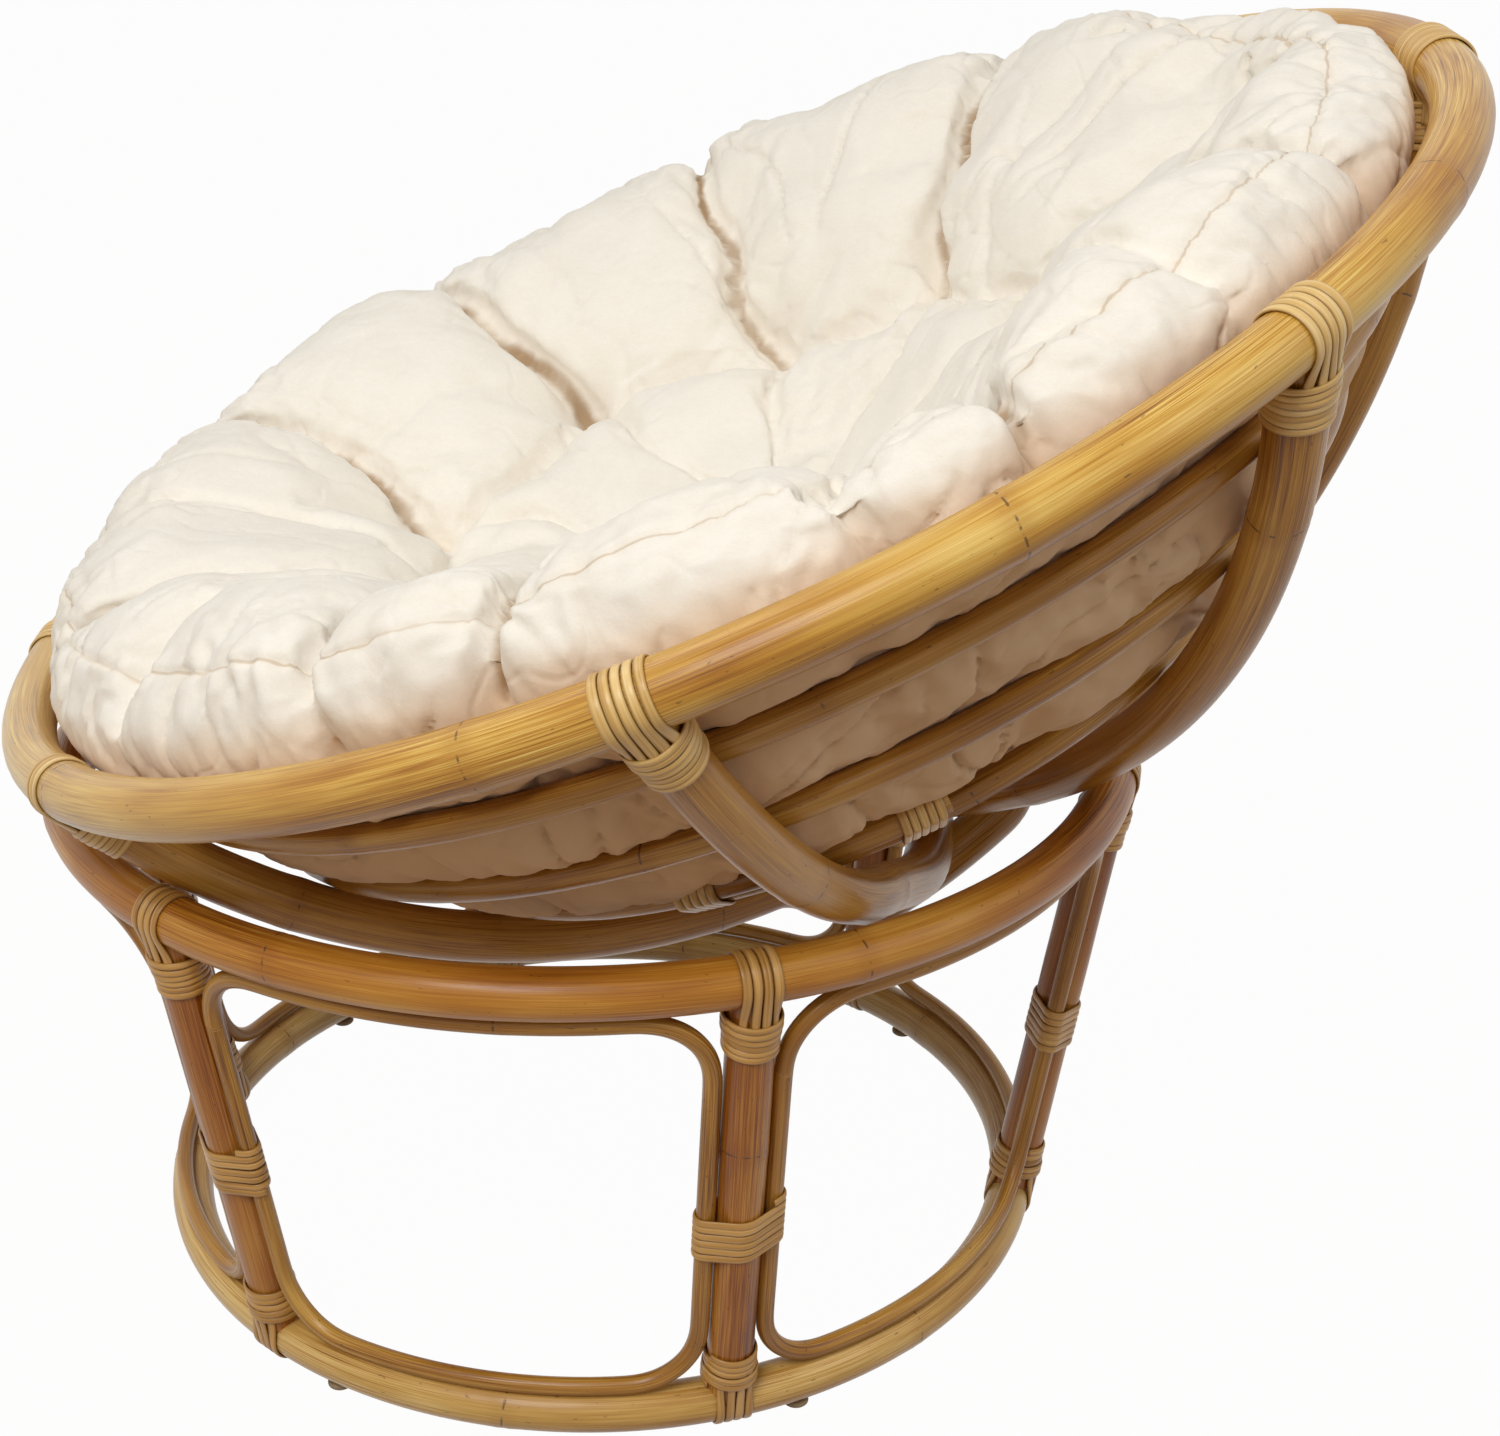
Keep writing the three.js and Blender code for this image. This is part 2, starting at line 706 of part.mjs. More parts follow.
// The angle of a fold where it crosses a radius
function foldAngle(fold, radius) {
  const [tuft, foot, crest] = fold.angles;
  const [low, middle, high] = foldRadii;
  if (radius <= middle) return THREE.MathUtils.mapLinear(Math.max(radius, low), low, middle, tuft, foot);
  return THREE.MathUtils.mapLinear(radius, middle, high, foot, crest);
}

function cushionGeometry() {
  const under = hoopSphere - bowl.hoopTube - 2 * fit.clearance;
  const deep = (radius) => -Math.sqrt(under ** 2 - radius ** 2);
  const rimPlane = -bowl.rimDepth;
  const dip = deep(0) + cushion.thickness - rimPlane;
  const rollWidth = outerRadius - cushion.seatRadius;
  const restRadii = hoopDepths.map(hoopRadius).map((r) => (r * under) / hoopSphere).reverse();
  const lines = foldLines();
  const rows = [[0, deep(0), 0]];
  for (const radius of [restRadii[0] / 2, ...restRadii]) {
    rows.push([radius, deep(radius), 0]);
  }
  for (const [width, rise, share] of rollShares) {
    rows.push([cushion.seatRadius + width * rollWidth, rimPlane + rise * cushion.rollRise, share]);
  }
  for (const [reach, depth, share] of dipShares) {
    rows.push([reach * cushion.seatRadius, rimPlane + depth * dip, share]);
  }
  rows.push([0, rimPlane + dip, 1]);
  const points = rows.map(([radius, height, share], k) => {
    const [before, after] = [rows[Math.max(k - 1, 0)], rows[Math.min(k + 1, rows.length - 1)]];
    const way = new THREE.Vector2(after[0] - before[0], after[1] - before[1]).normalize();
    if (radius === 0) way.set(-1, 0);
    const drawIn = (angle) => {
      const sunk = share * drawnIn(polar(radius, angle, 0), lines);
      return polar(radius - way.y * sunk, angle, height + way.x * sunk);
    };
    if (radius === 0) return [drawIn(0)];
    const lead = share === 0 ? outerRadius : radius;
    return folds.flatMap((fold, i) => {
      const from = foldAngle(fold, lead);
      const past = foldAngle(folds[(i + 1) % folds.length], lead);
      const turn = THREE.MathUtils.euclideanModulo(past - from, 360);
      const angleAt = (_, j) => degrees(from + (turn * j) / facets.lobe);
      return Array.from({ length: facets.lobe }, angleAt).map(drawIn);
    });
  });
  return cut(skin(points, false), splice.angles.map(spliceDent));
}

// The hollow that a splice presses into the cushion
function spliceDent(angle) {
  const wound = (spliceTube + fit.clearance) / Math.cos(Math.PI / facets.turn) + peel.thick;
  const radius = (wound + 2 * fit.clearance) / Math.cos(Math.PI / facets.glide);
  const length = (splice.turns + 1) * peel.pitch + peel.width;
  const dent = new THREE.CylinderGeometry(radius, radius, length, facets.glide);
  dent.rotateZ(degrees(angle));
  const place = polar(hoopRadius(lastHoop), degrees(angle), -bowl.rimDepth - lastHoop);
  dent.translate(place.x, place.y, place.z);
  return dent;
}

add(seat, 'cushion', cushionGeometry(), materials.cloth());

console.log(`least gap of a winding to itself: ${leastGap.toFixed(2)} mm`);

// The origin is on the floor, under the middle of the whole chair's box
const box = new THREE.Box3().setFromObject(chair, true);
const middle = box.getCenter(new THREE.Vector3());
chair.position.set(-middle.x, -middle.y, 0);

export default chair;
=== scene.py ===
import json
import math

import bpy
import numpy as np
from mathutils import Matrix, Vector


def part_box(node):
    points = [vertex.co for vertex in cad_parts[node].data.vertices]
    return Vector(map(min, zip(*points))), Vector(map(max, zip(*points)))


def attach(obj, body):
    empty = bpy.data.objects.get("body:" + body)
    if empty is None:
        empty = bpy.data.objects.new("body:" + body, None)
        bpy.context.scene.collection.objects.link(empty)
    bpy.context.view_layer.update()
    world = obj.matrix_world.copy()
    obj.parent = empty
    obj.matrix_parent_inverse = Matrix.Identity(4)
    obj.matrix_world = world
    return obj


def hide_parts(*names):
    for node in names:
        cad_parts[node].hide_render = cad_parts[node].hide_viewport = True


# A bowl chair of bent cane poles with a tufted cushion. Lengths are in metres.
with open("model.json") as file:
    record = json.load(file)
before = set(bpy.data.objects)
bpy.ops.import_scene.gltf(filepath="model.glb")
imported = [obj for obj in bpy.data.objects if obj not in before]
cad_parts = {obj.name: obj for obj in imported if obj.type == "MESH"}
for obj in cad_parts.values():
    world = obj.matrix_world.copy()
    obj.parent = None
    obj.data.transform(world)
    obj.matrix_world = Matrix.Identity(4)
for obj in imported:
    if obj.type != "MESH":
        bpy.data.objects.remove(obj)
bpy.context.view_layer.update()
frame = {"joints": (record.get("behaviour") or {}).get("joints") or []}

joints = {joint["name"]: joint for joint in frame["joints"]}
sphereCentre = np.array(joints["bowl_tilt"]["pos_m"])  # the ribs lie on a sphere round it
bowlUp = np.array(joints["cushion_lift"]["axis"])
bowlTilt = math.atan2(-bowlUp[1], bowlUp[2])


# Numbers and places

def polar(radius, angle, height):
    # a point at a radius and an angle, at a height: (r cos a, r sin a, z), for whole arrays
    radius, angle, height = np.broadcast_arrays(radius, angle, height)
    return np.stack([radius * np.cos(angle), radius * np.sin(angle), height], -1)


def unit(vectors):
    # each vector over its own length
    return vectors / np.linalg.norm(vectors, axis=-1, keepdims=True)


def smooth(low, high, value):
    # 0 below low, 1 above high, with 3t² − 2t³ between them
    t = np.clip((value - low) / (high - low), 0, 1)
    return t * t * (3 - 2 * t)


def span(zone, value):
    # 0, then 1 between the zone's two middle places, then 0 again
    start, full, fading, end = zone
    return smooth(start, full, value) * (1 - smooth(fading, end, value))


def bell(value, width):
    # e^−(value / width)²: 1 at zero, and fading on both sides
    return np.exp(-((value / width) ** 2))


def fullTurn(count):
    return np.linspace(0, 2 * math.pi, count, endpoint=False)


def fromBowl(points):
    # the bowl's own axes turned about X by the tilt and moved to the sphere's centre
    x, y, z = np.moveaxis(points, -1, 0)
    c, s = math.cos(bowlTilt), math.sin(bowlTilt)
    return np.stack([x, y * c - z * s, y * s + z * c], -1) + sphereCentre


def ringOf(node, tube=None):
    # the middle of a ring's box, its radius and its tube's radius
    low, high = (np.array(corner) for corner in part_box(node))
    tube = (high[2] - low[2]) / 2 if tube is None else tube
    return (low + high) / 2, (high[0] - low[0]) / 2 - tube, tube


def swell(points, size, seed, count=28):
    # a smooth random field: the mean of sines along random directions, with waves of about size
    rng = np.random.default_rng(seed)
    ways = unit(rng.normal(size=(count, points.shape[-1])))
    lengths = size * rng.uniform(0.6, 1.7, count)
    phases = rng.uniform(0, 2 * math.pi, count)
    total = np.zeros(points.shape[:-1])
    for way, length, phase in zip(ways, lengths, phases):
        total += np.sin(points @ way * (2 * math.pi / length) + phase)
    return total * math.sqrt(2 / count)


def evenly(points, step, closed=False, space=3):
    # the same path with points at equal distances of about step along it, measured in the first
    # columns, and the other columns carried along
    if closed:
        points = np.concatenate([points, points[:1]])
    gone = np.concatenate([[0], np.cumsum(stepsOf(points[:, :space]))])
    count = max(int(round(gone[-1] / step)), 3)
    at = np.linspace(0, gone[-1], count + 1)
    if closed:
        at = at[:-1]
    return np.stack([np.interp(at, gone, column) for column in points.T], -1)


def rounded(points, rounds, closed=False):
    # each point becomes the mean of itself, twice, and its neighbours, several times over
    for _ in range(rounds):
        mixed = (np.roll(points, 1, 0) + 2 * points + np.roll(points, -1, 0)) / 4
        if not closed:
            mixed[[0, -1]] = points[[0, -1]]
        points = mixed
    return points


def stepsOf(path):
    # the distance from each point to the next
    return np.linalg.norm(np.diff(path, axis=0), axis=1)


# Meshes

def setValues(mesh, attributes):
    # a number or a vector for each point of a mesh, by name
    for label, values in attributes.items():
        field = "vector" if values.ndim == 2 else "value"
        kind = {"vector": "FLOAT_VECTOR", "value": "FLOAT"}[field]
        made = mesh.attributes.new(label, kind, "POINT")
        made.data.foreach_set(field, values.astype(np.float32).ravel())


def getValues(things, field, width=3, kind=np.float32):
    # one field of a mesh's points or corners, with a row for each
    values = np.empty(len(things) * width, kind)
    things.foreach_get(field, values)
    return values.reshape(-1, width)


def addMesh(name, points, faces, attributes=None):
    # points (n, 3) and a list of face arrays, turned outwards: the sum of a · (b × c) over the
    # triangles of the first array is six times the volume
    a, *others = np.moveaxis(points[faces[0]], 1, 0)
    volume = sum(np.einsum("ij,ij->i", a, np.cross(b, c)).sum()
                 for b, c in zip(others[:-1], others[1:]))
    if volume < 0:
        faces = [part[:, ::-1] for part in faces]
    loops = np.concatenate([part.ravel() for part in faces])
    sizes = np.concatenate([np.full(len(part), part.shape[1]) for part in faces])
    starts = np.concatenate([[0], np.cumsum(sizes)[:-1]])
    mesh = bpy.data.meshes.new(name)
    mesh.vertices.add(len(points))
    mesh.vertices.foreach_set("co", points.astype(np.float32).ravel())
    mesh.loops.add(len(loops))
    mesh.loops.foreach_set("vertex_index", loops.astype(np.int32))
    mesh.polygons.add(len(sizes))
    mesh.polygons.foreach_set("loop_start", starts.astype(np.int32))
    mesh.polygons.foreach_set("loop_total", sizes.astype(np.int32))
    mesh.update(calc_edges=True)
    mesh.shade_smooth()
    setValues(mesh, attributes or {})
    return addObject(name, mesh)


def addObject(name, data):
    made = bpy.data.objects.new(name, data)
    bpy.context.scene.collection.objects.link(made)
    return made


def gridFaces(rows, columns, closedRows, start=0):
    # the four corners of each cell of a grid whose columns run all the way round
    r = np.arange(rows if closedRows else rows - 1)[:, None]
    c = np.arange(columns)[None, :]
    nextR, nextC = (r + 1) % rows, (c + 1) % columns
    corners = [r * columns + c, r * columns + nextC, nextR * columns + nextC, nextR * columns + c]
    return np.stack(corners, -1).reshape(-1, 4) + start


def capFaces(rows, columns, start=0):
    # fans that close the first and the last row of a grid, whose two middle points come after it
    a = start + np.arange(columns)
    b = start + (np.arange(columns) + 1) % columns
    last, middle = (rows - 1) * columns, np.full(columns, start + rows * columns)
    return np.concatenate([np.stack([b, a, middle], -1),
                           np.stack([a + last, b + last, middle + 1], -1)])


def carried(path, ways, across, out, closed):
    # a section carried along a path: point + across × (path's way × out) + out × (the way out)
    if closed:
        heading = np.roll(path, -1, 0) - np.roll(path, 1, 0)
    else:
        heading = np.gradient(path, axis=0)
    heading = unit(heading)
    ways = unit(ways - heading * np.einsum("ij,ij->i", ways, heading)[:, None])
    aside = np.cross(heading, ways)
    return path[:, None] + across[..., None] * aside[:, None] + out[..., None] * ways[:, None]


class Bundle:
    # several swept pieces gathered into one mesh
    def __init__(self):
        self.values, self.quads, self.fans, self.count = {}, [], [], 0

    def sweep(self, path, ways, across, out, closed=False, **extra):
        # the carried section's grid, closed at its ends by the mean of each end row
        grid = carried(path, ways, across, out, closed)
        rows, columns = grid.shape[:2]
        self.quads.append(gridFaces(rows, columns, closed, self.count))
        if not closed:
            self.fans.append(capFaces(rows, columns, self.count))
        for label, values in {"points": grid, **extra}.items():
            flat = values.reshape(rows, columns, -1)
            parts = self.values.setdefault(label, [])
            parts.append(flat.reshape(rows * columns, -1))
            if not closed:
                parts.append(np.stack([flat[0].mean(0), flat[-1].mean(0)]))
        self.count += rows * columns + (0 if closed else 2)

    def piece(self, name):
        values = {label: np.concatenate(parts).squeeze() for label, parts in self.values.items()}
        faces = [np.concatenate(part) for part in (self.quads, self.fans) if part]
        return addMesh(name, values.pop("points"), faces, values)


# Shader maths

class Value:
    # a socket whose sums and products add Math nodes
    def __init__(self, finish, socket):
        self.finish, self.socket = finish, socket

    def math(self, operation, *others):
        inputs = dict(enumerate((self, *others)))
        return self.finish.node("ShaderNodeMath", {"operation": operation}, inputs)

    def __add__(self, other):
        return self.math("ADD", other)

    def __sub__(self, other):
        return self.math("SUBTRACT", other)

    def __mul__(self, other):
        return self.math("MULTIPLY", other)

    def __rsub__(self, other):
        return self.finish.node("ShaderNodeMath", {"operation": "SUBTRACT"}, {0: other, 1: self})

    def within(self, low, high):
        # 0 to 1 as the value goes from low to high
        inputs = {"Value": self, "From Min": low, "From Max": high}
        return self.finish.node("ShaderNodeMapRange", {"interpolation_type": "SMOOTHSTEP"}, inputs)


class Finish:
    # a material's nodes, or the world's when a tree is given
    def __init__(self, name, tree=None):
        self.tree = tree
        if tree is None:
            self.material = bpy.data.materials.new(name)
            self.material.use_nodes = True
            self.tree = self.material.node_tree
            self.shader = self.tree.nodes["Principled BSDF"]

    def node(self, kind, settings=None, inputs=None, output=0):
        made = self.tree.nodes.new(kind)
        for key, value in (settings or {}).items():
            setattr(made, key, value)
        for key, value in (inputs or {}).items():
            self.fill(made.inputs[key], value)
        return Value(self, made.outputs[output])

    def fill(self, socket, value):
        # a constant goes on the socket itself, and another node's output is linked to it
        if isinstance(value, Value):
            self.tree.links.new(value.socket, socket)
        else:
            socket.default_value = value

    def attribute(self, name, output=1):
        return self.node("ShaderNodeAttribute", {"attribute_name": name}, output=output)

    def place(self):
        # where a point is on its own object
        return self.node("ShaderNodeTexCoord", output=3)

    def part(self, vector, index):
        return self.node("ShaderNodeSeparateXYZ", None, {0: vector}, index)

    def noise(self, vector, scale, detail=2, roughness=0.55):
        # a random field of 0 to 1, whose scale may have three numbers, one for each axis
        if isinstance(scale, tuple):
            inputs = {0: vector, 1: scale}
            vector = self.node("ShaderNodeVectorMath", {"operation": "MULTIPLY"}, inputs)
            scale = 1
        inputs = {"Vector": vector, "Scale": scale, "Detail": detail, "Roughness": roughness}
        return self.node("ShaderNodeTexNoise", None, inputs)

    def ramp(self, value, *stops):
        made = self.node("ShaderNodeValToRGB", None, {0: value})
        elements = made.socket.node.color_ramp.elements
        while len(elements) < len(stops):
            elements.new(1)
        for element, (place, tone) in zip(elements, stops):
            element.position, element.color = place, (*tone, 1)
        return made

    def mix(self, factor, colour, tone):
        # colour × (1 − factor) + tone × factor
        inputs = {0: factor, 6: colour, 7: (*tone, 1)}
        return self.node("ShaderNodeMix", {"data_type": "RGBA"}, inputs, 2)

    def bump(self, height, distance, strength, normal=None):
        inputs = {"Height": height, "Distance": distance, "Strength": strength}
        if normal is not None:
            inputs["Normal"] = normal
        return self.node("ShaderNodeBump", None, inputs)

    def set(self, **sockets):
        names = {"colour": "Base Color", "roughness": "Roughness", "coat": "Coat Weight",
                 "coatRoughness": "Coat Roughness", "sheen": "Sheen Weight", "normal": "Normal",
                 "sheenRoughness": "Sheen Roughness", "specular": "Specular IOR Level"}
        for key, value in sockets.items():
            self.fill(self.shader.inputs[names[key]], value)
        return self.material


def paint(red, green, blue):
    # the linear colour of a colour given in the usual 0 to 255 way
    return tuple(((c / 255 + 0.055) / 1.055) ** 2.4 for c in (red, green, blue))


# Finishes

caneTones = {
    "rim": [(98, 54, 12), (172, 114, 36), (206, 156, 64), (236, 202, 116)],
    "ring": [(94, 46, 8), (162, 96, 24), (194, 130, 42), (226, 174, 80)],
    "lower": [(118, 76, 28), (180, 130, 60), (210, 168, 92), (234, 202, 136)],
    "post": [(84, 40, 8), (142, 78, 22), (172, 108, 36), (204, 148, 70)],
    "rib": [(100, 58, 14), (162, 108, 38), (190, 138, 56), (216, 170, 88)],
    "thin": [(90, 50, 12), (150, 98, 32), (182, 130, 52), (210, 166, 84)],
}


def darker(tone, share):
    return tuple(part * share for part in tone)


def caneFinish(name):
    # long streaks on the pole's own coordinates, cloudy patches, dark lines at the growth nodes
    dark, warm, honey, pale = (paint(*tone) for tone in caneTones[name])
    finish = Finish("cane " + name)
    grain = finish.attribute("grain")
    streaks = finish.noise(grain, (560, 560, 5.5), 4, 0.62)
    fibres = finish.noise(grain, (1500, 1500, 20), 2, 0.5)
    patches = finish.noise(grain, (26, 26, 5), 3, 0.5)
    strength = finish.noise(grain, (12, 12, 3)).within(0.35, 0.65)
    spread = (streaks * 0.62 + fibres * 0.62 - 0.62) * (strength * 0.75 + 0.35)
    tone = spread + patches * 0.6 + 0.2
    colour = finish.ramp(tone, (0.27, dark), (0.40, warm), (0.52, honey), (0.68, pale))
    wander = finish.noise(grain, (70, 70, 2))
    gap = finish.attribute("nodeGap", 2)
    away = (gap + wander * 0.004 - 0.002).math("ABSOLUTE")
    line = 1 - away.within(0.0003, 0.0011)
    band = 1 - away.within(0.002, 0.014)
    broken = finish.noise(grain, (200, 200, 2)).within(0.44, 0.60)
    colour = finish.mix(band * 0.3, colour, warm)
    if name == "rim":
        # painted highlight: the front of the rim is painted paler cream in patches, standing in for
        # the highlight it catches
        paintedHighlightSide = 1 - finish.part(finish.place(), 1).within(-0.62, -0.08)
        colour = finish.mix(paintedHighlightSide * patches * 0.85, colour, paint(242, 220, 162))
    colour = finish.mix(line * broken * 0.7, colour, darker(dark, 0.3))
    specks = finish.noise(grain, (420, 420, 160), 1).within(0.735, 0.78)
    colour = finish.mix(specks * 0.5, colour, darker(dark, 0.5))
    height = streaks * 0.5 + fibres * 0.5 - line * broken * 0.8
    return finish.set(colour=colour, roughness=streaks * 0.2 + 0.24, coat=0.08,
                      coatRoughness=0.16, specular=0.32, normal=finish.bump(height, 0.0006, 0.45))


def peelFinish(name, tones):
    # flat strips of cane skin: fine streaks along the strip and a little colour from strip to strip
    dark, middle, pale = (paint(*tone) for tone in tones)
    finish = Finish("peel " + name)
    grain = finish.attribute("grain")
    streaks = finish.noise(grain, (700, 700, 9), 3, 0.6)
    patches = finish.noise(grain, (50, 50, 12))
    tone = streaks * 0.5 + patches * 0.6 - 0.06
    colour = finish.ramp(tone, (0.3, dark), (0.5, middle), (0.68, pale))
    colour = finish.mix(finish.attribute("edge", 2) * 0.55, colour, darker(dark, 0.45))
    return finish.set(colour=colour, roughness=0.4, coat=0.12, coatRoughness=0.2,
                      specular=0.4, normal=finish.bump(streaks, 0.0004, 0.35))


def clothFinish():
    # plain cream cotton: warp and weft threads with slubs, soft creasing, painted shade that makes
    # it darker in the folds and at the seam, and warmer painted shade on the underside, which sees
    # only the cane, for its shade and the cane's bounced light
    finish = Finish("cream cotton")
    place = finish.place()
    cloth = finish.attribute("cloth")
    weft = finish.noise(place, (500, 500, 2600))
    warp = finish.noise(place, (2600, 2600, 500))
    slubs = finish.noise(place, (160, 160, 500), 3)
    crush = finish.noise(place, 26, 5, 0.62)
    tone = weft * 0.3 + warp * 0.3 + slubs * 0.15 + crush * 0.25
    colour = finish.ramp(tone, (0.36, paint(239, 231, 216)), (0.6, paint(248, 242, 231)))
    # painted shade: the underside is painted warmer and darker, for its shade and the light bounced
    # off the cane
    colour = finish.mix(finish.part(cloth, 2) * 0.85, colour, paint(232, 194, 150))
    # painted shade: darker in the folds, creases, tufts, pleats and wrinkles and along the seam
    colour = finish.mix(finish.attribute("fold", 2) * 0.6, colour, paint(206, 172, 120))
    broken = finish.noise(place, 9).within(0.36, 0.58) * 0.6 + 0.4
    # painted shade: thin dark lines painted into the creases
    line = 1 - finish.attribute("creaseGap", 2).within(0.0006, 0.0042)
    colour = finish.mix(line * broken * 0.85, colour, paint(150, 112, 62))
    # painted shadow: a darker line along the seam, which the bump also sinks as the seam's groove
    seamGap = finish.attribute("seamGap", 2).math("ABSOLUTE")
    seamGrooveShade = 1 - seamGap.within(0.0004, 0.0016)
    colour = finish.mix(seamGrooveShade * broken * 0.45, colour, paint(184, 152, 110))
    weave = finish.bump(weft * 0.5 + warp * 0.5 - seamGrooveShade * 1.5, 0.0004, 0.15)
    ridges = (finish.noise(place, 11, 2, 0.5) - 0.5).math("ABSOLUTE")
    pressed = finish.bump(ridges.within(0.0, 0.035), 0.0018, 0.25, weave)
    return finish.set(colour=colour, roughness=0.92, sheen=0.12, sheenRoughness=0.5,
                      normal=finish.bump(crush, 0.006, 0.2, pressed))


def glideFinish():
    # a plain dark cap with faint spots
    finish = Finish("glide cap")
    spots = finish.noise(finish.place(), 240, 4)
    colour = finish.ramp(spots, (0.35, paint(138, 118, 90)), (0.65, paint(158.7, 135.7, 103.5)))
    return finish.set(colour=colour, roughness=spots * 0.2 + 0.5,
                      normal=finish.bump(spots, 0.0005, 0.3))


finishes = {name: caneFinish(name) for name in caneTones}
finishes["peel bowl"] = peelFinish("bowl", [(174, 128, 62), (226, 186, 114), (244, 218, 160)])
finishes["peel base"] = peelFinish("base", [(146, 98, 38), (206, 156, 82), (230, 188, 120)])
finishes["cloth"] = clothFinish()
finishes["glide"] = glideFinish()
print("finishes made")


def settle(piece, body, finish, node):
    piece.data.materials.append(finishes[finish])
    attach(piece, body)
    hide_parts(node)
    return piece


# Poles

pole = {
    "sides": 28, "step": 0.004, "nodeSpacing": 0.36, "uneven": 0.25, "wobble": 0.012,
    "lean": 0.0015, "nodeSwell": 0.028, "swellReach": 0.008, "nodeCut": 0.02, "cutReach": 0.0012,
}


def addPole(bundle, path, ways, radius, seed, closed=False, sides=pole["sides"]):
    # a round section along the path, a little out of round, swollen at its growth nodes by
    # radius × swell × bell(gap), with a fine line cut in there
    rng = np.random.default_rng(seed)
    steps = stepsOf(path)
    along = np.concatenate([[0], np.cumsum(steps)])
    total = along[-1] + (steps[-1] if closed else 0)
    count = max(int(round(total / pole["nodeSpacing"])), 1)
    jitter = rng.uniform(-pole["uneven"], pole["uneven"], count)
    nodes = (np.arange(count) + 0.5 + jitter) * total / count
    nodes = np.concatenate([nodes, nodes[:1] + total, nodes[-1:] - total])
    gaps = along[:, None] - nodes[None]
    gap = gaps[np.arange(len(path)), np.abs(gaps).argmin(1)]
    angle = fullTurn(sides)[None]
    gap = gap[:, None] + pole["lean"] * np.cos(angle + rng.uniform(0, 6))
    turn = along[:, None] / total * 2 * math.pi
    wobble = np.sin(2 * angle + 2 * turn + rng.uniform(0, 6)) * 0.5
    wobble = wobble + np.sin(3 * turn + rng.uniform(0, 6)) * 0.5
    size = radius * (1 + pole["wobble"] * wobble - pole["nodeSwell"] * 0.5)
    size = size + radius * pole["nodeSwell"] * bell(gap, pole["swellReach"])
    size = size - radius * pole["nodeCut"] * bell(gap, pole["cutReach"])
    shift = rng.uniform(0, 5)
    grain = np.stack([np.cos(angle) * radius + 0 * gap, np.sin(angle) * radius + 0 * gap,
                      along[:, None] + shift + 0 * gap], -1)
    bundle.sweep(path, ways, np.sin(angle) * size, np.cos(angle) * size, closed,
                 grain=grain, nodeGap=gap)


def polePiece(name, body, slot, finish, path, ways, *size, **form):
    # one pole as a piece of its own
    bundle = Bundle()
    addPole(bundle, path, ways, *size, **form)
    settle(bundle.piece(name), body, finish, name)


def poleRing(name, body, slot, finish, radius, height, place, start, tube, seed):
    # a closed ring in a level plane, then put in its place
    count = int(2 * math.pi * radius / pole["step"])
    angle = start + fullTurn(count)
    path, middle = place(polar(radius, angle, height)), place(np.array([[0, 0, height]]))
    polePiece(name, body, slot, finish, path, path - middle, tube, seed, closed=True)


centre, upperRadius, upperTube = ringOf("upper_ring")
upperHeight = centre[2]
lowerCentre, lowerRadius, lowerTube = ringOf("lower_ring")
lowerHeight = lowerCentre[2]
baseMiddle = np.array([centre[0], centre[1], 0])


def fromBase(points):
    return points + baseMiddle


post = {"radius": 0.016, "count": 6, "first": math.radians(-44.5), "inset": 0.006}
poleRing("upper_ring", "base", "cane_pole", "ring", upperRadius, upperHeight, fromBase,
         post["first"], upperTube, 3)
poleRing("lower_ring", "base", "cane_pole", "lower", lowerRadius, lowerHeight, fromBase,
         math.radians(75.5), lowerTube, 4)

hoop = {"tube": 0.0064, "topCorner": 0.05, "footCorner": 0.045, "gap": 0.0003, "sides": 16,
        "cornerPoints": 14, "bowPoints": 38}
rise = upperHeight - lowerHeight
flare = upperRadius - lowerRadius
postLength = math.hypot(rise, flare)
besidePost = post["radius"] + hoop["gap"] + hoop["tube"]


def coneRadius(height):
    return lowerRadius + flare * (height - lowerHeight) / rise


def postFrame(index):
    # foot and head of a post with the ways up it, round the base and out of it
    angle = post["first"] + 2 * math.pi * index / post["count"]
    foot = fromBase(polar(lowerRadius, angle, lowerHeight))
    head = fromBase(polar(upperRadius, angle, upperHeight))
    up = unit(head - foot)
    side = np.array([-math.sin(angle), math.cos(angle), 0])
    return foot, head, up, side, np.cross(side, up)


def addPost(index):
    foot, head, up, side, out = postFrame(index)
    path = evenly(np.array([foot + up * post["inset"], head - up * post["inset"]]), pole["step"])
    polePiece(f"post_{index + 1}", "base", "cane_pole", "post", path, np.tile(out, (len(path), 1)),
              post["radius"], 20 + index)


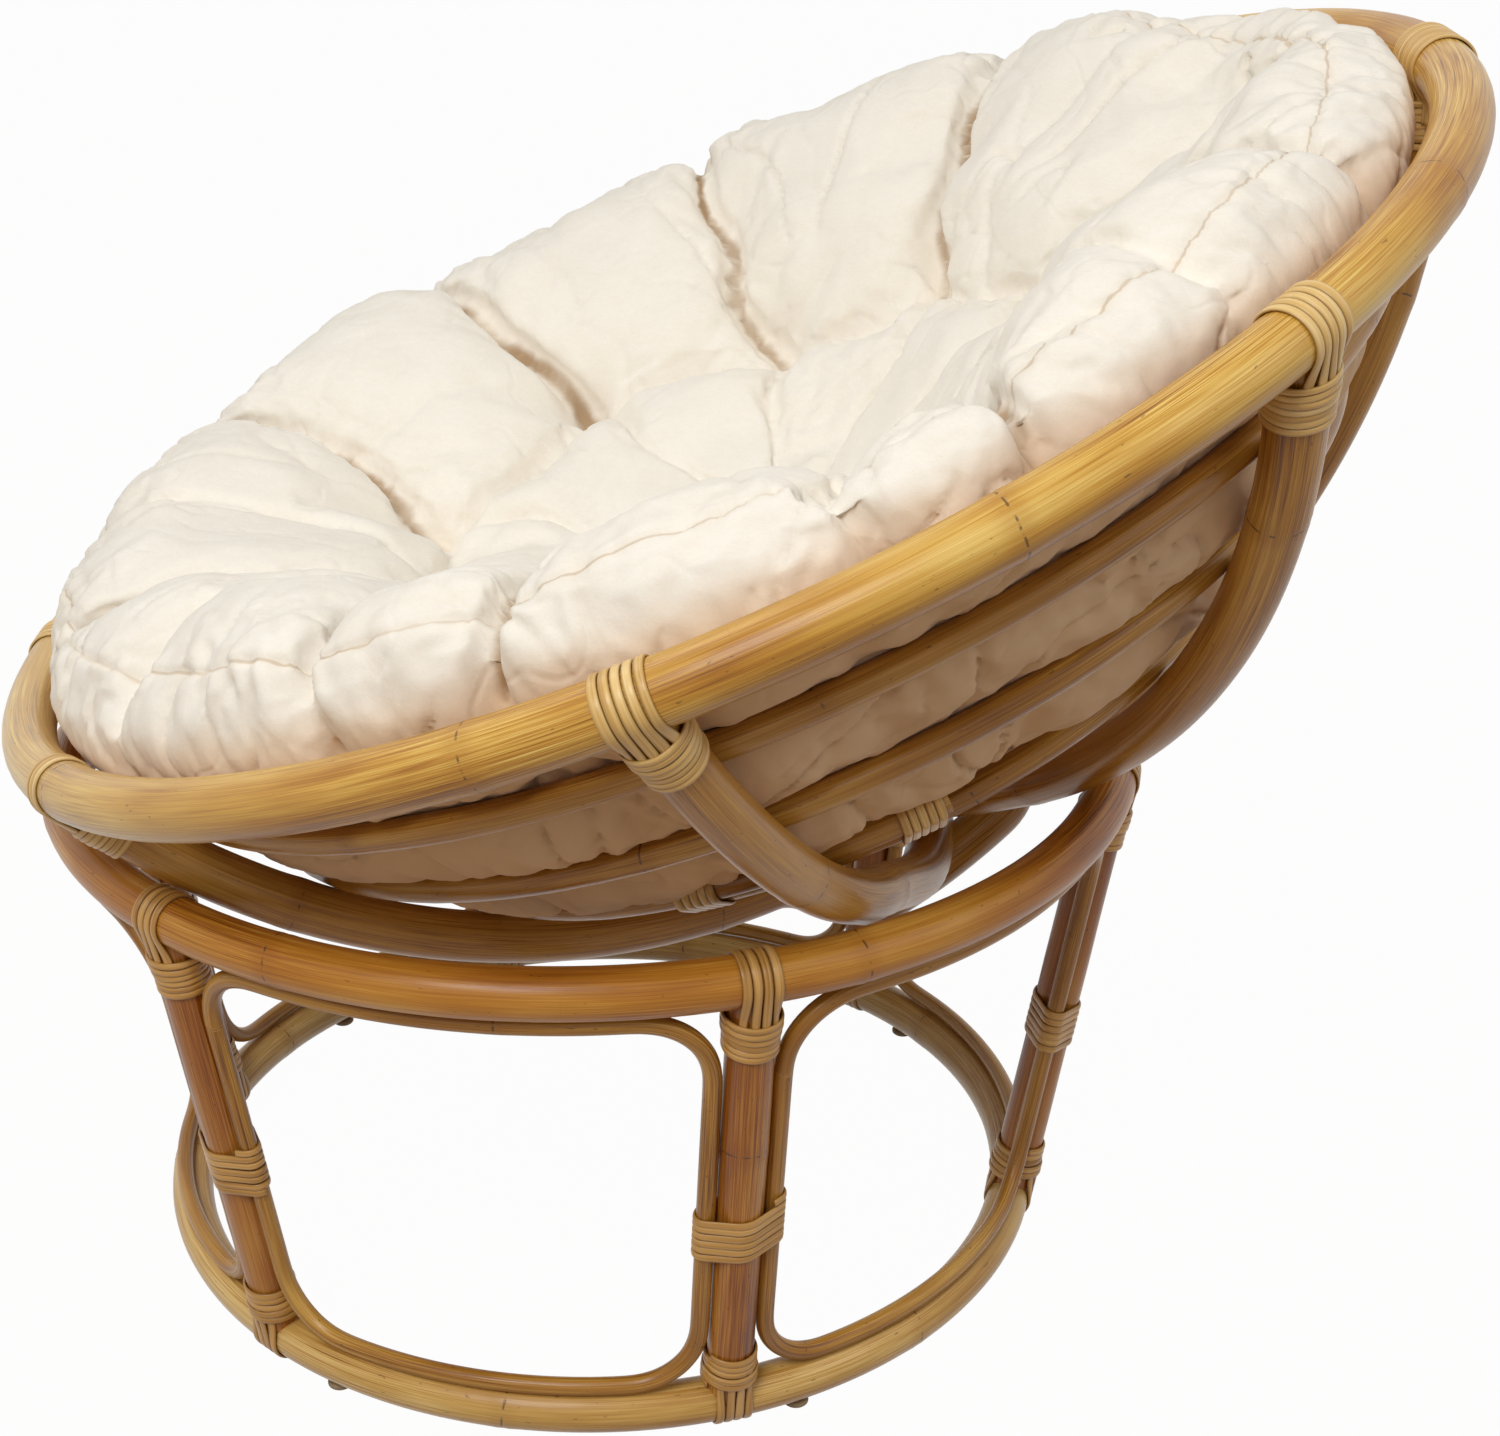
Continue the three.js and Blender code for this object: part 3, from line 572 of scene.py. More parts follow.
def addPanelHoop(index):
    # a rounded panel on the cone of the posts: up the left side, along the top, down and back
    top = upperHeight - upperTube - hoop["gap"] - hoop["tube"]
    bottom = lowerHeight + lowerTube + hoop["gap"] + hoop["tube"]
    left = post["first"] + 2 * math.pi * index / post["count"]
    right = left + 2 * math.pi / post["count"]
    turn = np.linspace(0, math.pi / 2, hoop["cornerPoints"])

    def corner(radius, level, sign):
        # a quarter circle between a side and the level part, as heights and insets from the post
        height = level - sign * radius * (1 - np.sin(turn))
        reach = coneRadius(height)
        return height, np.arctan(besidePost / reach) + radius * (1 - np.cos(turn)) / reach

    topHeight, topInset = corner(hoop["topCorner"], top, 1)
    footHeight, footInset = corner(hoop["footCorner"], bottom, -1)
    across = np.linspace(0, 1, hoop["bowPoints"] + 2)[1:-1]
    topBow = left + topInset[-1] + across * (right - left - 2 * topInset[-1])
    footBow = right - footInset[-1] - across * (right - left - 2 * footInset[-1])
    heights = np.concatenate([topHeight, top + 0 * across, topHeight[::-1],
                              footHeight, bottom + 0 * across, footHeight[::-1]])
    angles = np.concatenate([left + topInset, topBow, right - topInset[::-1],
                             right - footInset, footBow, left + footInset[::-1]])
    path = fromBase(polar(np.hypot(coneRadius(heights), besidePost), angles, heights))
    path = rounded(evenly(path, pole["step"], closed=True), 6, closed=True)
    out = unit(path - baseMiddle) * [1, 1, 0]
    polePiece(f"panel_hoop_{index + 1}", "base", "thin_cane", "thin", path, out, hoop["tube"],
              40 + index, closed=True, sides=hoop["sides"])


for index in range(post["count"]):
    addPost(index)
    addPanelHoop(index)
print("base poles made")

bowl = {"rimTube": 0.0188, "rimDepth": 0.2043, "ribTube": 0.0175, "hoopTube": 0.0095,
        "hoopDepths": [0.066, 0.142, 0.220], "gap": 0.0003}
rimRadius = ringOf("rim", bowl["rimTube"])[1]
ribSphere = math.hypot(rimRadius, bowl["rimDepth"])
hoopSphere = ribSphere - bowl["ribTube"] - bowl["gap"] - bowl["hoopTube"]
ribs = {
    "rib_d": {"angle": 86, "twist": 0, "aside": -50, "inward": 12, "flat": 0, "reach": 200},
    "rib_c": {"angle": 39, "twist": -2.4, "aside": 15, "inward": -8, "flat": 0, "reach": 145},
    "rib_b": {"angle": -6, "twist": -3, "aside": 25, "inward": -28, "flat": 50, "reach": 250},
    "rib_a": {"angle": -58.5, "twist": 0, "aside": 45, "inward": -48, "flat": 50, "reach": 134},
}
millimetre = 0.001


def hoopRadius(depth):
    return math.sqrt(hoopSphere**2 - (bowl["rimDepth"] + depth) ** 2)


def ribPath(rib, count=260):
    # a great circle of the ribs' sphere, moved aside in its middle and bent out at the crossing
    share = np.linspace(0, 1, count)
    limit = math.acos(bowl["rimDepth"] / ribSphere)
    turn = limit * (1 - 2 * share)
    radius = ribSphere * np.sin(turn)
    offset = rib["aside"] * millimetre * np.cos(turn / limit * math.pi / 2)
    heading = np.radians(rib["angle"] + rib["twist"] * share)
    path = np.stack([radius * np.cos(heading) - offset * np.sin(heading),
                     radius * np.sin(heading) + offset * np.cos(heading),
                     -ribSphere * np.cos(turn)], -1)
    flat, reach = rib["flat"] * millimetre, rib["reach"] * millimetre
    past = np.clip((np.abs(radius) - flat) / (reach - flat), 0, 1)
    bend = rib["inward"] * millimetre * np.cos(past * math.pi / 2) ** 2
    return unit(path) * (ribSphere - bend)[:, None]


poleRing("rim", "bowl", "cane_pole", "rim", rimRadius, -bowl["rimDepth"], fromBowl,
         math.radians(86), bowl["rimTube"], 5)
for index, depth in enumerate(bowl["hoopDepths"][:2]):
    poleRing(f"bowl_hoop_{index + 1}", "bowl", "thin_cane", "thin", hoopRadius(depth),
             -bowl["rimDepth"] - depth, fromBowl, 2.0, bowl["hoopTube"], 60 + index)
for order, (name, rib) in enumerate(ribs.items()):
    path = fromBowl(evenly(ribPath(rib), pole["step"]))
    polePiece(name, "bowl", "cane_pole", "rib", path, path - sphereCentre, bowl["ribTube"],
              70 + order)

# The lowest hoop's two ends lie side by side between its two splices, at these degrees
splice = {"angles": [7.4, -18.8], "beyond": 3.2, "ease": 55, "apart": 26, "thinner": 0.97,
          "turns": 5, "pitch": 0.0058}
lowestDepth = bowl["hoopDepths"][2]


def addLowestHoop():
    # once round and past its own start, sliding along the sphere by a tube's radius at each end
    first = splice["angles"][1] - splice["beyond"]
    last = 360 + splice["angles"][0] + splice["beyond"]
    angle = np.radians(np.linspace(first, last, 900))
    degrees = np.degrees(angle)
    ease, apart = splice["ease"], splice["apart"]
    slide = bowl["hoopTube"] * (smooth(last - ease - apart, last - apart, degrees)
                                - 1 + smooth(first + apart, first + apart + ease, degrees))
    polarTurn = math.asin(hoopRadius(lowestDepth) / hoopSphere) + slide / hoopSphere
    path = polar(hoopSphere * np.sin(polarTurn), angle, -hoopSphere * np.cos(polarTurn))
    path = fromBowl(evenly(path, pole["step"]))
    polePiece("bowl_hoop_3", "bowl", "thin_cane", "thin", path, path - sphereCentre,
              bowl["hoopTube"] * splice["thinner"], 63, sides=20)


addLowestHoop()
print("bowl poles made")

# Lashings: strips of peel with a flat underside and a crowned face

peel = {"width": 0.0060, "thick": 0.0018, "step": 0.0022, "lift": 0.0003, "taper": 0.06,
        "taperReach": 0.011, "below": 0.004, "leastDepth": 0.45, "strapStep": 0.0015}
peelShares = np.array([[-0.5, 0.05], [-0.49, 0.5], [-0.4, 0.8], [-0.2, 0.97], [0, 1],
                       [0.2, 0.97], [0.4, 0.8], [0.49, 0.5], [0.5, 0.05], [0, 0]])
peelEdge = np.array([1, 0.8, 0.35, 0, 0, 0, 0.35, 0.8, 1, 1])


def addStrip(bundle, path, ways, seed, width=peel["width"]):
    # the strip's section along a path that lies on what it is wound on, wider and narrower by turns
    both = evenly(np.concatenate([path, ways], 1), peel["step"])
    path, ways = both[:, :3], unit(both[:, 3:])
    rng = np.random.default_rng(seed)
    along = np.arange(len(path)) * peel["step"]
    wave = np.sin(along / peel["taperReach"] + rng.uniform(0, 6))
    taper = 1 - peel["taper"] + peel["taper"] * wave
    across = peelShares[None, :, 0] * width * taper[:, None]
    out = peelShares[None, :, 1] * peel["thick"] + 0 * across
    grain = np.stack([across, out, along[:, None] + rng.uniform(0, 5) + 0 * across], -1)
    edge = np.tile(peelEdge, (len(path), 1)).astype(float)
    bundle.sweep(path, ways, across, out, grain=grain, edge=edge)


def tie(frameAt, ringTube, poleRadius, look, seed):
    # straps over a ring and down both faces of a pole, held by turns wound round the pole
    bundle = Bundle()
    rng = np.random.default_rng(seed)
    low, tuck = ringTube + peel["below"], look["tuck"]
    turns, pitch = look["turns"], look["pitch"]
    centre, out, side, down = frameAt(0.0)
    arc = look["middle"] + np.linspace(-look["wrap"], look["wrap"], 60)
    arcWays = np.cos(arc)[:, None] * out - np.sin(arc)[:, None] * down
    places = [frameAt(distance) for distance in np.linspace(low, low + tuck, 6)]
    for k in range(look["straps"]):
        offset = (k - (look["straps"] - 1) / 2) * look["strapPitch"]
        least = peel["leastDepth"] * poleRadius
        depth = math.sqrt(max((poleRadius + peel["lift"]) ** 2 - offset**2, least**2))

        def leg(sign):
            # down one face of the pole: places and ways out, in six columns
            return [[*(c + s * offset + o * sign * depth), *unit(o * sign * depth + s * offset)]
                    for c, o, s, _ in places]

        over = centre + side * offset + arcWays * (ringTube + peel["lift"])
        strap = np.concatenate([leg(1)[::-1], np.concatenate([over, arcWays], 1), leg(-1)])
        strap = rounded(evenly(strap, peel["strapStep"]), 5)
        addStrip(bundle, strap[:, :3], strap[:, 3:], seed * 31 + k, look["strapWidth"])
    angle = np.linspace(0, turns * 2 * math.pi, turns * 48)
    wander = np.interp(angle, np.linspace(0, angle[-1], turns * 4), rng.uniform(-1, 1, turns * 4))
    down = ringTube + look["start"] + pitch * (angle / (2 * math.pi) + 0.5) + wander * pitch * 0.1
    covered = 1 - smooth(low + tuck - 0.004, low + tuck + 0.004, down)
    reach = poleRadius + peel["lift"] + peel["thick"] * (0.15 + 0.7 * covered)
    path, ways = np.empty((len(angle), 3)), np.empty((len(angle), 3))
    for i, (a, d, r) in enumerate(zip(angle, down, reach)):
        c, o, s, _ = frameAt(d)
        ways[i] = o * math.cos(a + look["twist"]) + s * math.sin(a + look["twist"])
        path[i] = c + ways[i] * r
    addStrip(bundle, path, ways, seed * 31 + 17, look["turnWidth"])
    return bundle


def lash(name, body, bundle):
    settle(bundle.piece(name), body, "peel " + body, name)


footTie = {"straps": 4, "strapPitch": 0.0066, "strapWidth": 0.0062, "wrap": 1.75, "tuck": 0.014,
           "middle": math.pi / 2, "turns": 5, "turnWidth": 0.0058, "pitch": 0.0054,
           "start": 0.003, "twist": 1.2}
headTie = {**footTie, "wrap": 1.9, "tuck": 0.016, "middle": math.pi / 2 + 0.2, "turns": 6,
           "turnWidth": 0.0052, "pitch": 0.0048, "start": 0.004, "twist": 2.2}
ribTie = {**footTie, "straps": 5, "strapPitch": 0.0064, "turns": 7, "turnWidth": 0.0048,
          "pitch": 0.0044, "start": 0.001, "twist": 0.6}

for index in range(post["count"]):
    foot, head, up, side, out = postFrame(index)
    lash(f"head_lashing_{index + 1}", "base",
         tie(lambda distance: (head - up * distance, out, side, -up), upperTube, post["radius"],
             headTie, 100 + index))
    lash(f"foot_lashing_{index + 1}", "base",
         tie(lambda distance: (foot + up * distance, out, -side, up), lowerTube, post["radius"],
             footTie, 120 + index))


def hull(circles):
    # the outline round several circles: at each angle, the point of the circle that reaches most
    angle = fullTurn(400)
    ways = np.stack([np.cos(angle), np.sin(angle)], -1)
    centres, radii = np.array(circles)[:, :2], np.array(circles)[:, 2]
    best = (ways @ centres.T + radii).argmax(1)
    outline = np.concatenate([centres[best] + ways * radii[best, None], ways], 1)
    return evenly(outline, 0.002, True, 2)


def wound(loop, climb, middle, side, out, up):
    # a flat outline's places and ways out, with a climb along up as it goes round
    return (middle + loop[:, :1] * side + loop[:, 1:2] * out + climb[:, None] * up,
            loop[:, 2:3] * side + loop[:, 3:4] * out)


binding = {"turns": 6, "pitch": 0.0059, "heightShare": 0.445, "slant": 0.004, "uneven": 0.0007}


def addBinding(index):
    # a strip wound round a post and the two hoop sides beside it
    foot, head, up, side, out = postFrame(index)
    rng = np.random.default_rng(140 + index)
    beside = hoop["tube"] + peel["lift"]
    outline = hull([(0, 0, post["radius"] + peel["lift"]), (besidePost, 0, beside),
                    (-besidePost, 0, beside)])
    loop = np.concatenate([np.tile(outline, (binding["turns"], 1)), outline[:8]])
    gone = np.arange(len(loop)) / len(outline)
    climb = (gone - binding["turns"] / 2) * binding["pitch"]
    climb = climb + binding["slant"] * loop[:, 0] / besidePost * rng.uniform(-0.6, 1)
    knots = np.arange(0, gone[-1] + 1, 0.5)
    climb = climb + np.interp(gone, knots, rng.uniform(-1, 1, len(knots))) * binding["uneven"]
    centre = foot + up * binding["heightShare"] * postLength
    path, ways = wound(loop, climb, centre, side, out, up)
    bundle = Bundle()
    addStrip(bundle, path, unit(ways), 160 + index)
    lash(f"mid_binding_{index + 1}", "base", bundle)


for index in range(post["count"]):
    addBinding(index)


def ribEndFrame(rib, fromEnd):
    # frames down a rib from the rim's middle
    path = fromBowl(ribPath(rib))
    if fromEnd:
        path = path[::-1]
    gone = np.concatenate([[0], np.cumsum(stepsOf(path))])
    level = path[0] - fromBowl(np.array([0, 0, -bowl["rimDepth"]]))
    roundRim = unit(np.cross(bowlUp, level))

    def at(distance):
        centre, ahead = (np.array([np.interp(distance + more, gone, column) for column in path.T])
                         for more in (0, pole["step"]))
        down = unit(ahead - centre)
        side = unit(roundRim - down * (roundRim @ down)) if distance > 0 else roundRim
        down = unit(down - side * (down @ side))
        return centre, np.cross(side, down), side, down

    return at


# Rib ends that are tied in their own way, as (rib, end)
ribTies = {
    ("rib_a", 0): {"straps": 3}, ("rib_a", 1): {"straps": 3}, ("rib_d", 1): {"turns": 1},
    ("rib_d", 0): {"straps": 12, "strapPitch": 0.0043, "strapWidth": 0.0043, "wrap": 1.9},
}
for order, (name, rib) in enumerate(ribs.items()):
    for end in range(2):
        look = {**ribTie, **ribTies.get((name, end), {})}
        bundle = tie(ribEndFrame(rib, end == 1), bowl["rimTube"], bowl["ribTube"], look,
                     180 + 2 * order + end)
        lash(f"{name}_lashing_{end + 1}", "bowl", bundle)


def addSplice(index, angle):
    # turns round the two ends of the lowest hoop, which lie one above the other
    polarTurn = math.asin(hoopRadius(lowestDepth) / hoopSphere)
    turn = math.radians(angle)
    middle = polar(hoopSphere * math.sin(polarTurn), turn, -hoopSphere * math.cos(polarTurn))
    out = unit(middle)
    ahead = np.array([-math.sin(turn), math.cos(turn), 0])
    tube = bowl["hoopTube"] + peel["lift"]
    outline = hull([(bowl["hoopTube"], 0, tube), (-bowl["hoopTube"], 0, tube)])
    loop = np.tile(outline, (splice["turns"], 1))
    climb = (np.arange(len(loop)) / len(outline) - splice["turns"] / 2) * splice["pitch"]
    path, ways = wound(loop, climb, middle, np.cross(ahead, out), out, ahead)
    bundle = Bundle()
    addStrip(bundle, fromBowl(path), fromBowl(ways) - sphereCentre, 200 + index)
    lash(f"hoop_splice_{index + 1}", "bowl", bundle)


for index, angle in enumerate(splice["angles"]):
    addSplice(index, angle)
print("lashings made")


# Glide caps

glide = {"around": 40, "step": 0.06, "outline": [
    [0, 0], [0.55, 0.0], [0.85, 0.12], [1, 0.35], [1, 0.7], [0.9, 0.9], [0.7, 1], [0, 1]]}


def addGlide(name):
    # an outline in shares of its node's radius and height, turned about the cap's own middle
    low, high = (np.array(corner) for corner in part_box(name))
    middle, radius, height = (low + high) / 2, (high[0] - low[0]) / 2, high[2] - low[2]
    outline = rounded(evenly(np.array(glide["outline"], float), glide["step"]), 2)[1:-1]
    angle = fullTurn(glide["around"])[None]
    rings = polar(outline[:, :1] * radius, angle, low[2] + outline[:, 1:] * height)
    points = (rings + [middle[0], middle[1], 0]).reshape(-1, 3)
    ends = [[middle[0], middle[1], low[2]], [middle[0], middle[1], high[2]]]
    size = len(outline), glide["around"]
    faces = [gridFaces(*size, False), capFaces(*size)]
    piece = addMesh(name, np.concatenate([points, ends]), faces)
    settle(piece, "base", "glide", name)


for index in range(4):
    addGlide(f"glide_{index + 1}")
print("glides made")

# Cushion, worked out in the bowl's own axes, with heights from the rim's plane

pad = {
    "under": hoopSphere - bowl["hoopTube"] - 2 * bowl["gap"],
    "outer": 0.492, "tuftRing": 0.240, "foot": 0.345, "step": 0.0044, "around": 680,
    "crown": -0.008, "foldDepth": 0.015, "foldReach": 0.020, "weakness": 0.018,
    "creaseDepth": 0.012, "creaseReach": 0.0078, "tuftDepth": 0.018, "tuftReach": 0.022,
    "bulge": 0.013, "seam": (0.470, 0.066), "atRim": 0.0035, "rimReach": 0.02, "outside": 0.4,
    "clear": 0.0005, "rimClear": 0.0008, "spliceRoom": 12, "spliceSwell": 1.3,
    "unevenness": 0.0008, "softness": 0.004, "fullness": 0.8, "varying": 0.25, "sunk": 0.0006,
    "middleUneven": 0.001, "rimRest": 0.495, "underEdge": 0.470, "paintedShadeFrom": (0.024, 0.010),
}
# How far the folds wander, in waves of this size, and how much further away they count: a weak
# fold's crease, a line from a tuft to the middle, and the creases between tufts
foldLines = {"wander": 0.006, "waves": 0.13, "weak": 0.008, "toMiddle": 0.004, "across": 0.003}
# Where the top, all but the underside, and the underside begin or end, and the crest, the roll's
# inner side and its outer side, all measured from the seam inwards
zones = {
    "onTop": (-0.07, 0.02), "over": (-0.115, -0.06), "below": (-0.09, -0.03),
    "crest": (-0.045, 0.02, 0.13, 0.24), "inner": (0.02, 0.06, 0.17, 0.24),
    "outer": (-0.13, -0.04, 0.015, 0.075),
}
# How much lower the roll's crest lies at some angles round the bowl
crestDrop = {
    0: 0.014, 10: 0.027, 20: 0.027, 32: 0.013, 45: 0.008, 60: 0.020, 80: 0.038, 100: 0.040,
    120: 0.030, 140: 0.014, 152: 0.014, 163: 0.022, 175: 0.014, 190: 0.004, 225: 0, 265: 0,
    300: 0.006, 335: 0.006,
}
# The air that fills it: how far apart the cloth's points are, how often it is worked out, the
# furthest that a point may move, and the cloth itself, let out by a twentieth
air = {"voxel": 0.0071, "frames": 20, "cap": 0.024, "levels": 20}
airCloth = {
    "quality": 4, "mass": 0.3, "tension_stiffness": 15, "compression_stiffness": 15,
    "shear_stiffness": 5, "bending_stiffness": 0.1, "use_pressure": True,
    "uniform_pressure_force": 4.0, "shrink_min": -0.05, "shrink_max": -0.05, "pin_stiffness": 1,
}
# Each fold's angle at the ring of tufts, at the roll's foot and on its crest, and how weak it is
folds = [
    (22, 16, 10, 0.4), (30, 25, 21, 0), (47, 42, 38, 1), (65, 61, 57, 0), (98, 95, 92, 0),
    (117, 119, 115, 1), (133, 138, 138, 0), (168, 172, 176, 0), (204, 204, 209, 0),
    (247, 236, 240, 0), (270, 264, 262, 1), (290, 288, 285, 0), (306, 308, 308, 1),
    (322, 328, 331, 0), (355, 350, 345, 0),
]
# The roll and the seat, from the rim over the crest to the middle: radius and height
padTop = [
    (0.484, 0.008), (0.491, 0.028), (0.487, 0.050), (0.470, 0.067), (0.450, 0.078),
    (0.425, 0.082), (0.385, 0.066), (0.345, 0.040), (0.300, 0.008), (0.260, -0.020),
    (0.200, -0.064), (0.140, -0.102), (0.070, -0.131), (0, -0.137),
]


def planar(radius, degrees):
    turn = math.radians(degrees)
    return np.array([radius * math.cos(turn), radius * math.sin(turn)])


def distanceTo(points, start, end):
    # the least distance of points of the plan to the line from start to end
    way = end - start
    share = np.clip(((points - start) @ way) / (way @ way), 0, 1)
    return np.linalg.norm(points - start - share[:, None] * way, axis=1)


def creased(field, width):
    # 1 on the lines where a field is zero, and less on both sides
    return np.exp(-np.abs(field) / width)


def padProfile():
    # from the middle of the underside out over the roll to the middle of the seat
    radius = np.linspace(0, pad["underEdge"], 90)
    height = bowl["rimDepth"] - np.sqrt(pad["under"] ** 2 - radius**2)
    line = np.concatenate([np.stack([radius, height], -1), np.array(padTop, float)])
    line = evenly(rounded(evenly(line, 0.004, space=2), 10), pad["step"], space=2)
    line[0, 0] = line[-1, 0] = 0
    return line


padLine = padProfile()
padHeading = unit(np.gradient(padLine, axis=0))
padSeam = int(np.linalg.norm(padLine - pad["seam"], axis=1).argmin())


class PadPlaces:
    # where points of the cushion lie: along its profile, and by its folds and tufts
    def __init__(self, points):
        self.points = points
        self.radius = np.hypot(points[:, 0], points[:, 1])
        self.turn = np.arctan2(points[:, 1], points[:, 0])
        flat = np.stack([self.radius, points[:, 2]], -1)
        nearest = np.concatenate([
            ((part[:, None] - padLine[None]) ** 2).sum(-1).argmin(1)
            for part in np.array_split(flat, len(flat) // 20000 + 1)])
        along = padHeading[nearest]
        beyond = ((flat - padLine[nearest]) * along).sum(1)
        self.reach = nearest * pad["step"] + beyond
        self.side = self.reach - padSeam * pad["step"]
        out = np.stack([np.interp(self.reach, np.arange(len(padLine)) * pad["step"], column)
                        for column in (padHeading[:, 1], -padHeading[:, 0])])
        self.out = polar(out[0], self.turn, out[1])
        self.onTop = smooth(*zones["onTop"], self.side)
        self.over = smooth(*zones["over"], self.side)
        self.below = 1 - smooth(*zones["below"], self.side)
        self.outside = self.radius > pad["outside"]
        self.lift = np.arcsin(np.clip(self.radius / pad["under"], 0, 1))
        self.measureFolds()

    def measureFolds(self):
        # the least distance to the folds, which wander a little, and to the lines between tufts
        points = self.points
        drift = np.stack([swell(points, foldLines["waves"], seed) for seed in (21, 22)], -1)
        plan = points[:, :2] + drift * foldLines["wander"]
        strong, faint, across, tuftGap = (np.full(len(plan), np.inf) for _ in range(4))
        tufts = [planar(pad["tuftRing"], fold[0]) for fold in folds if not fold[3]]
        for tuft, foot, crest, weak in folds:
            knots = [planar(pad["tuftRing"], tuft), planar(pad["foot"], foot),
                     planar(pad["outer"], crest)]
            for start, end in zip(knots[:-1], knots[1:]):
                gap = distanceTo(plan, start, end)
                strong = np.minimum(strong, gap + weak * pad["weakness"])
                faint = np.minimum(faint, gap + weak * foldLines["weak"])
        for start, end in zip(tufts, tufts[1:] + tufts[:1]):
            across = np.minimum(across, distanceTo(plan, start, end))
            inwards = distanceTo(plan, start, np.zeros(2))
            across = np.minimum(across, inwards + foldLines["toMiddle"])
        for tuft in [*tufts, np.zeros(2)]:
            tuftGap = np.minimum(tuftGap, np.linalg.norm(plan - tuft, axis=1))
        self.wide = np.minimum(strong, across + pad["weakness"])
        self.narrow = np.minimum(faint, across + foldLines["across"])
        self.tuftGap = tuftGap


def restLifts():
    # the hoops that the underside rests on, and the rim, as angles round the sphere's centre
    lifts = [math.asin(hoopRadius(depth) / hoopSphere) for depth in bowl["hoopDepths"][::-1]]
    return [*lifts, math.asin(pad["rimRest"] / pad["under"])]


def padForm(at):
    # the wide hollows of folds and tufts, and the swelling between the hoops, along the way out
    sink = pad["foldDepth"] * creased(at.wide, pad["foldReach"])
    sink = sink + pad["tuftDepth"] * bell(at.tuftGap, pad["tuftReach"])
    soft = swell(at.points, 0.22, 37) * pad["softness"]
    between = np.zeros(len(at.points))
    rests = restLifts()
    for low, high in zip(rests[:-1], rests[1:]):
        share = np.clip((at.lift - low) / (high - low), 0, 1)
        between = np.maximum(between, np.sin(share * math.pi) ** pad["fullness"])
    bulge = between * pad["bulge"] * (1 + pad["varying"] * swell(at.points, 0.16, 53))
    middle = swell(at.points, 0.15, 54) * pad["middleUneven"]
    lower = np.where(at.lift < rests[0], middle, bulge - pad["sunk"])
    drop = np.interp(np.degrees(at.turn), list(crestDrop), list(crestDrop.values()), period=360)
    drop = drop * span(zones["crest"], at.side)
    proud = pad["atRim"] * bell(at.points[:, 2], pad["rimReach"]) * at.outside
    return (pad["crown"] + soft) * at.onTop - drop - sink * at.over + lower * at.below + proud


# Wrinkles: how far the field is stretched in height, the size of its waves, its seed, and the
# width and depth of its lines
wrinkles = {
    "fans": (0.6, 0.10, 34, 0.075, 0.0034), "crumples": (1, 0.16, 35, 0.07, 0.0007),
    "small": (1, 0.075, 36, 0.09, 0.0004), "climbing": (0.18, 0.10, 64, 0.11, 0.0075),
    "pleats": (0.25, 0.085, 44, 0.16, 0.0030), "bends": (0.5, 0.2, 45, 0.10, 0.0038),
    "slanting": (1.5, 0.20, 51, 0.10, 0.0080), "under": (1, 0.12, 52, 0.12, 0.0022),
}
seam = {"width": 0.0032, "depth": 0.0028, "pucker": 0.0013, "puckerReach": 0.020}


def wrinkle(name, points):
    # 1 on the lines where the stretched field is zero, and less beside them, with the lines' depth
    stretch, size, seed, width, depth = wrinkles[name]
    lines = creased(swell(points * [1, 1, stretch], size, seed), width)
    return lines, lines * depth


def wandering(points, reach, size, seed):
    # points moved by three random fields, so that what follows them wanders
    return points + reach * np.stack([swell(points, size, seed + i) for i in range(3)], -1)


def padDetail(at):
    # creases, wrinkles, pleats and the seam: how far the surface moves, and the painted shade that
    # darkens them
    bent = wandering(at.points, 0.03, 0.2, 31)
    sharp = bell(at.narrow, pad["creaseReach"])
    crease = sharp * 0.7 + creased(at.narrow, 0.012) * 0.3
    fans, fanDepth = wrinkle("fans", bent)
    nearFolds = np.exp(-at.wide / 0.08)
    top = fanDepth * nearFolds + wrinkle("crumples", bent)[1] + wrinkle("small", bent)[1]
    top = top - swell(at.points, 0.06, 38) * pad["unevenness"]

    # Long folds that run up the inner side of the roll, most of all at the back
    backShare = 0.45 + 0.55 * smooth(-0.2, 0.7, np.sin(at.turn))
    inside = span(zones["inner"], at.side) * backShare
    climbing = wandering(polar(pad["foot"], at.turn, at.side), 0.02, 0.16, 61)
    long, longDepth = wrinkle("climbing", climbing)
    top = top + longDepth * inside

    # Upright pleats below the seam, and puckers along it
    onSide = span(zones["outer"], at.side)
    drift = wandering(polar(pad["outer"], at.turn, at.side), 0.02, 0.2, 41)
    pleats, pleatDepth = wrinkle("pleats", drift)
    bends, bendDepth = wrinkle("bends", drift)
    seamLine = bell(at.side, seam["width"])
    pucker = swell(drift * [1, 1, 0.4], 0.020, 46) * creased(at.side, seam["puckerReach"])
    sides = onSide * (pleatDepth + bendDepth) + seamLine * seam["depth"] - pucker * seam["pucker"]
    sides = sides + pad["creaseDepth"] * crease * at.over

    slant = wrinkle("slanting", bent)[1] + wrinkle("under", bent)[1]
    # painted shade: darker in the creases, along the seam, at the tufts and in the pleats, fans and
    # long folds
    paintedShade = creased(at.narrow, 0.0025) * 0.35 * at.over + seamLine * 0.2
    paintedShade = paintedShade + bell(at.tuftGap, 0.012) * 0.2 + (pleats + bends) * onSide * 0.12
    paintedShade = paintedShade + fans * nearFolds * 0.10 * at.onTop + long * inside * 0.12
    return -(top * at.onTop + sides + slant * at.below), np.clip(paintedShade, 0, 1)


def meshArrays(mesh):
    # a mesh's points and its four-cornered faces, as arrays
    corners = getValues(mesh.loops, "vertex_index", 1, np.int32)
    return getValues(mesh.vertices, "co").astype(float), corners.reshape(-1, 4)


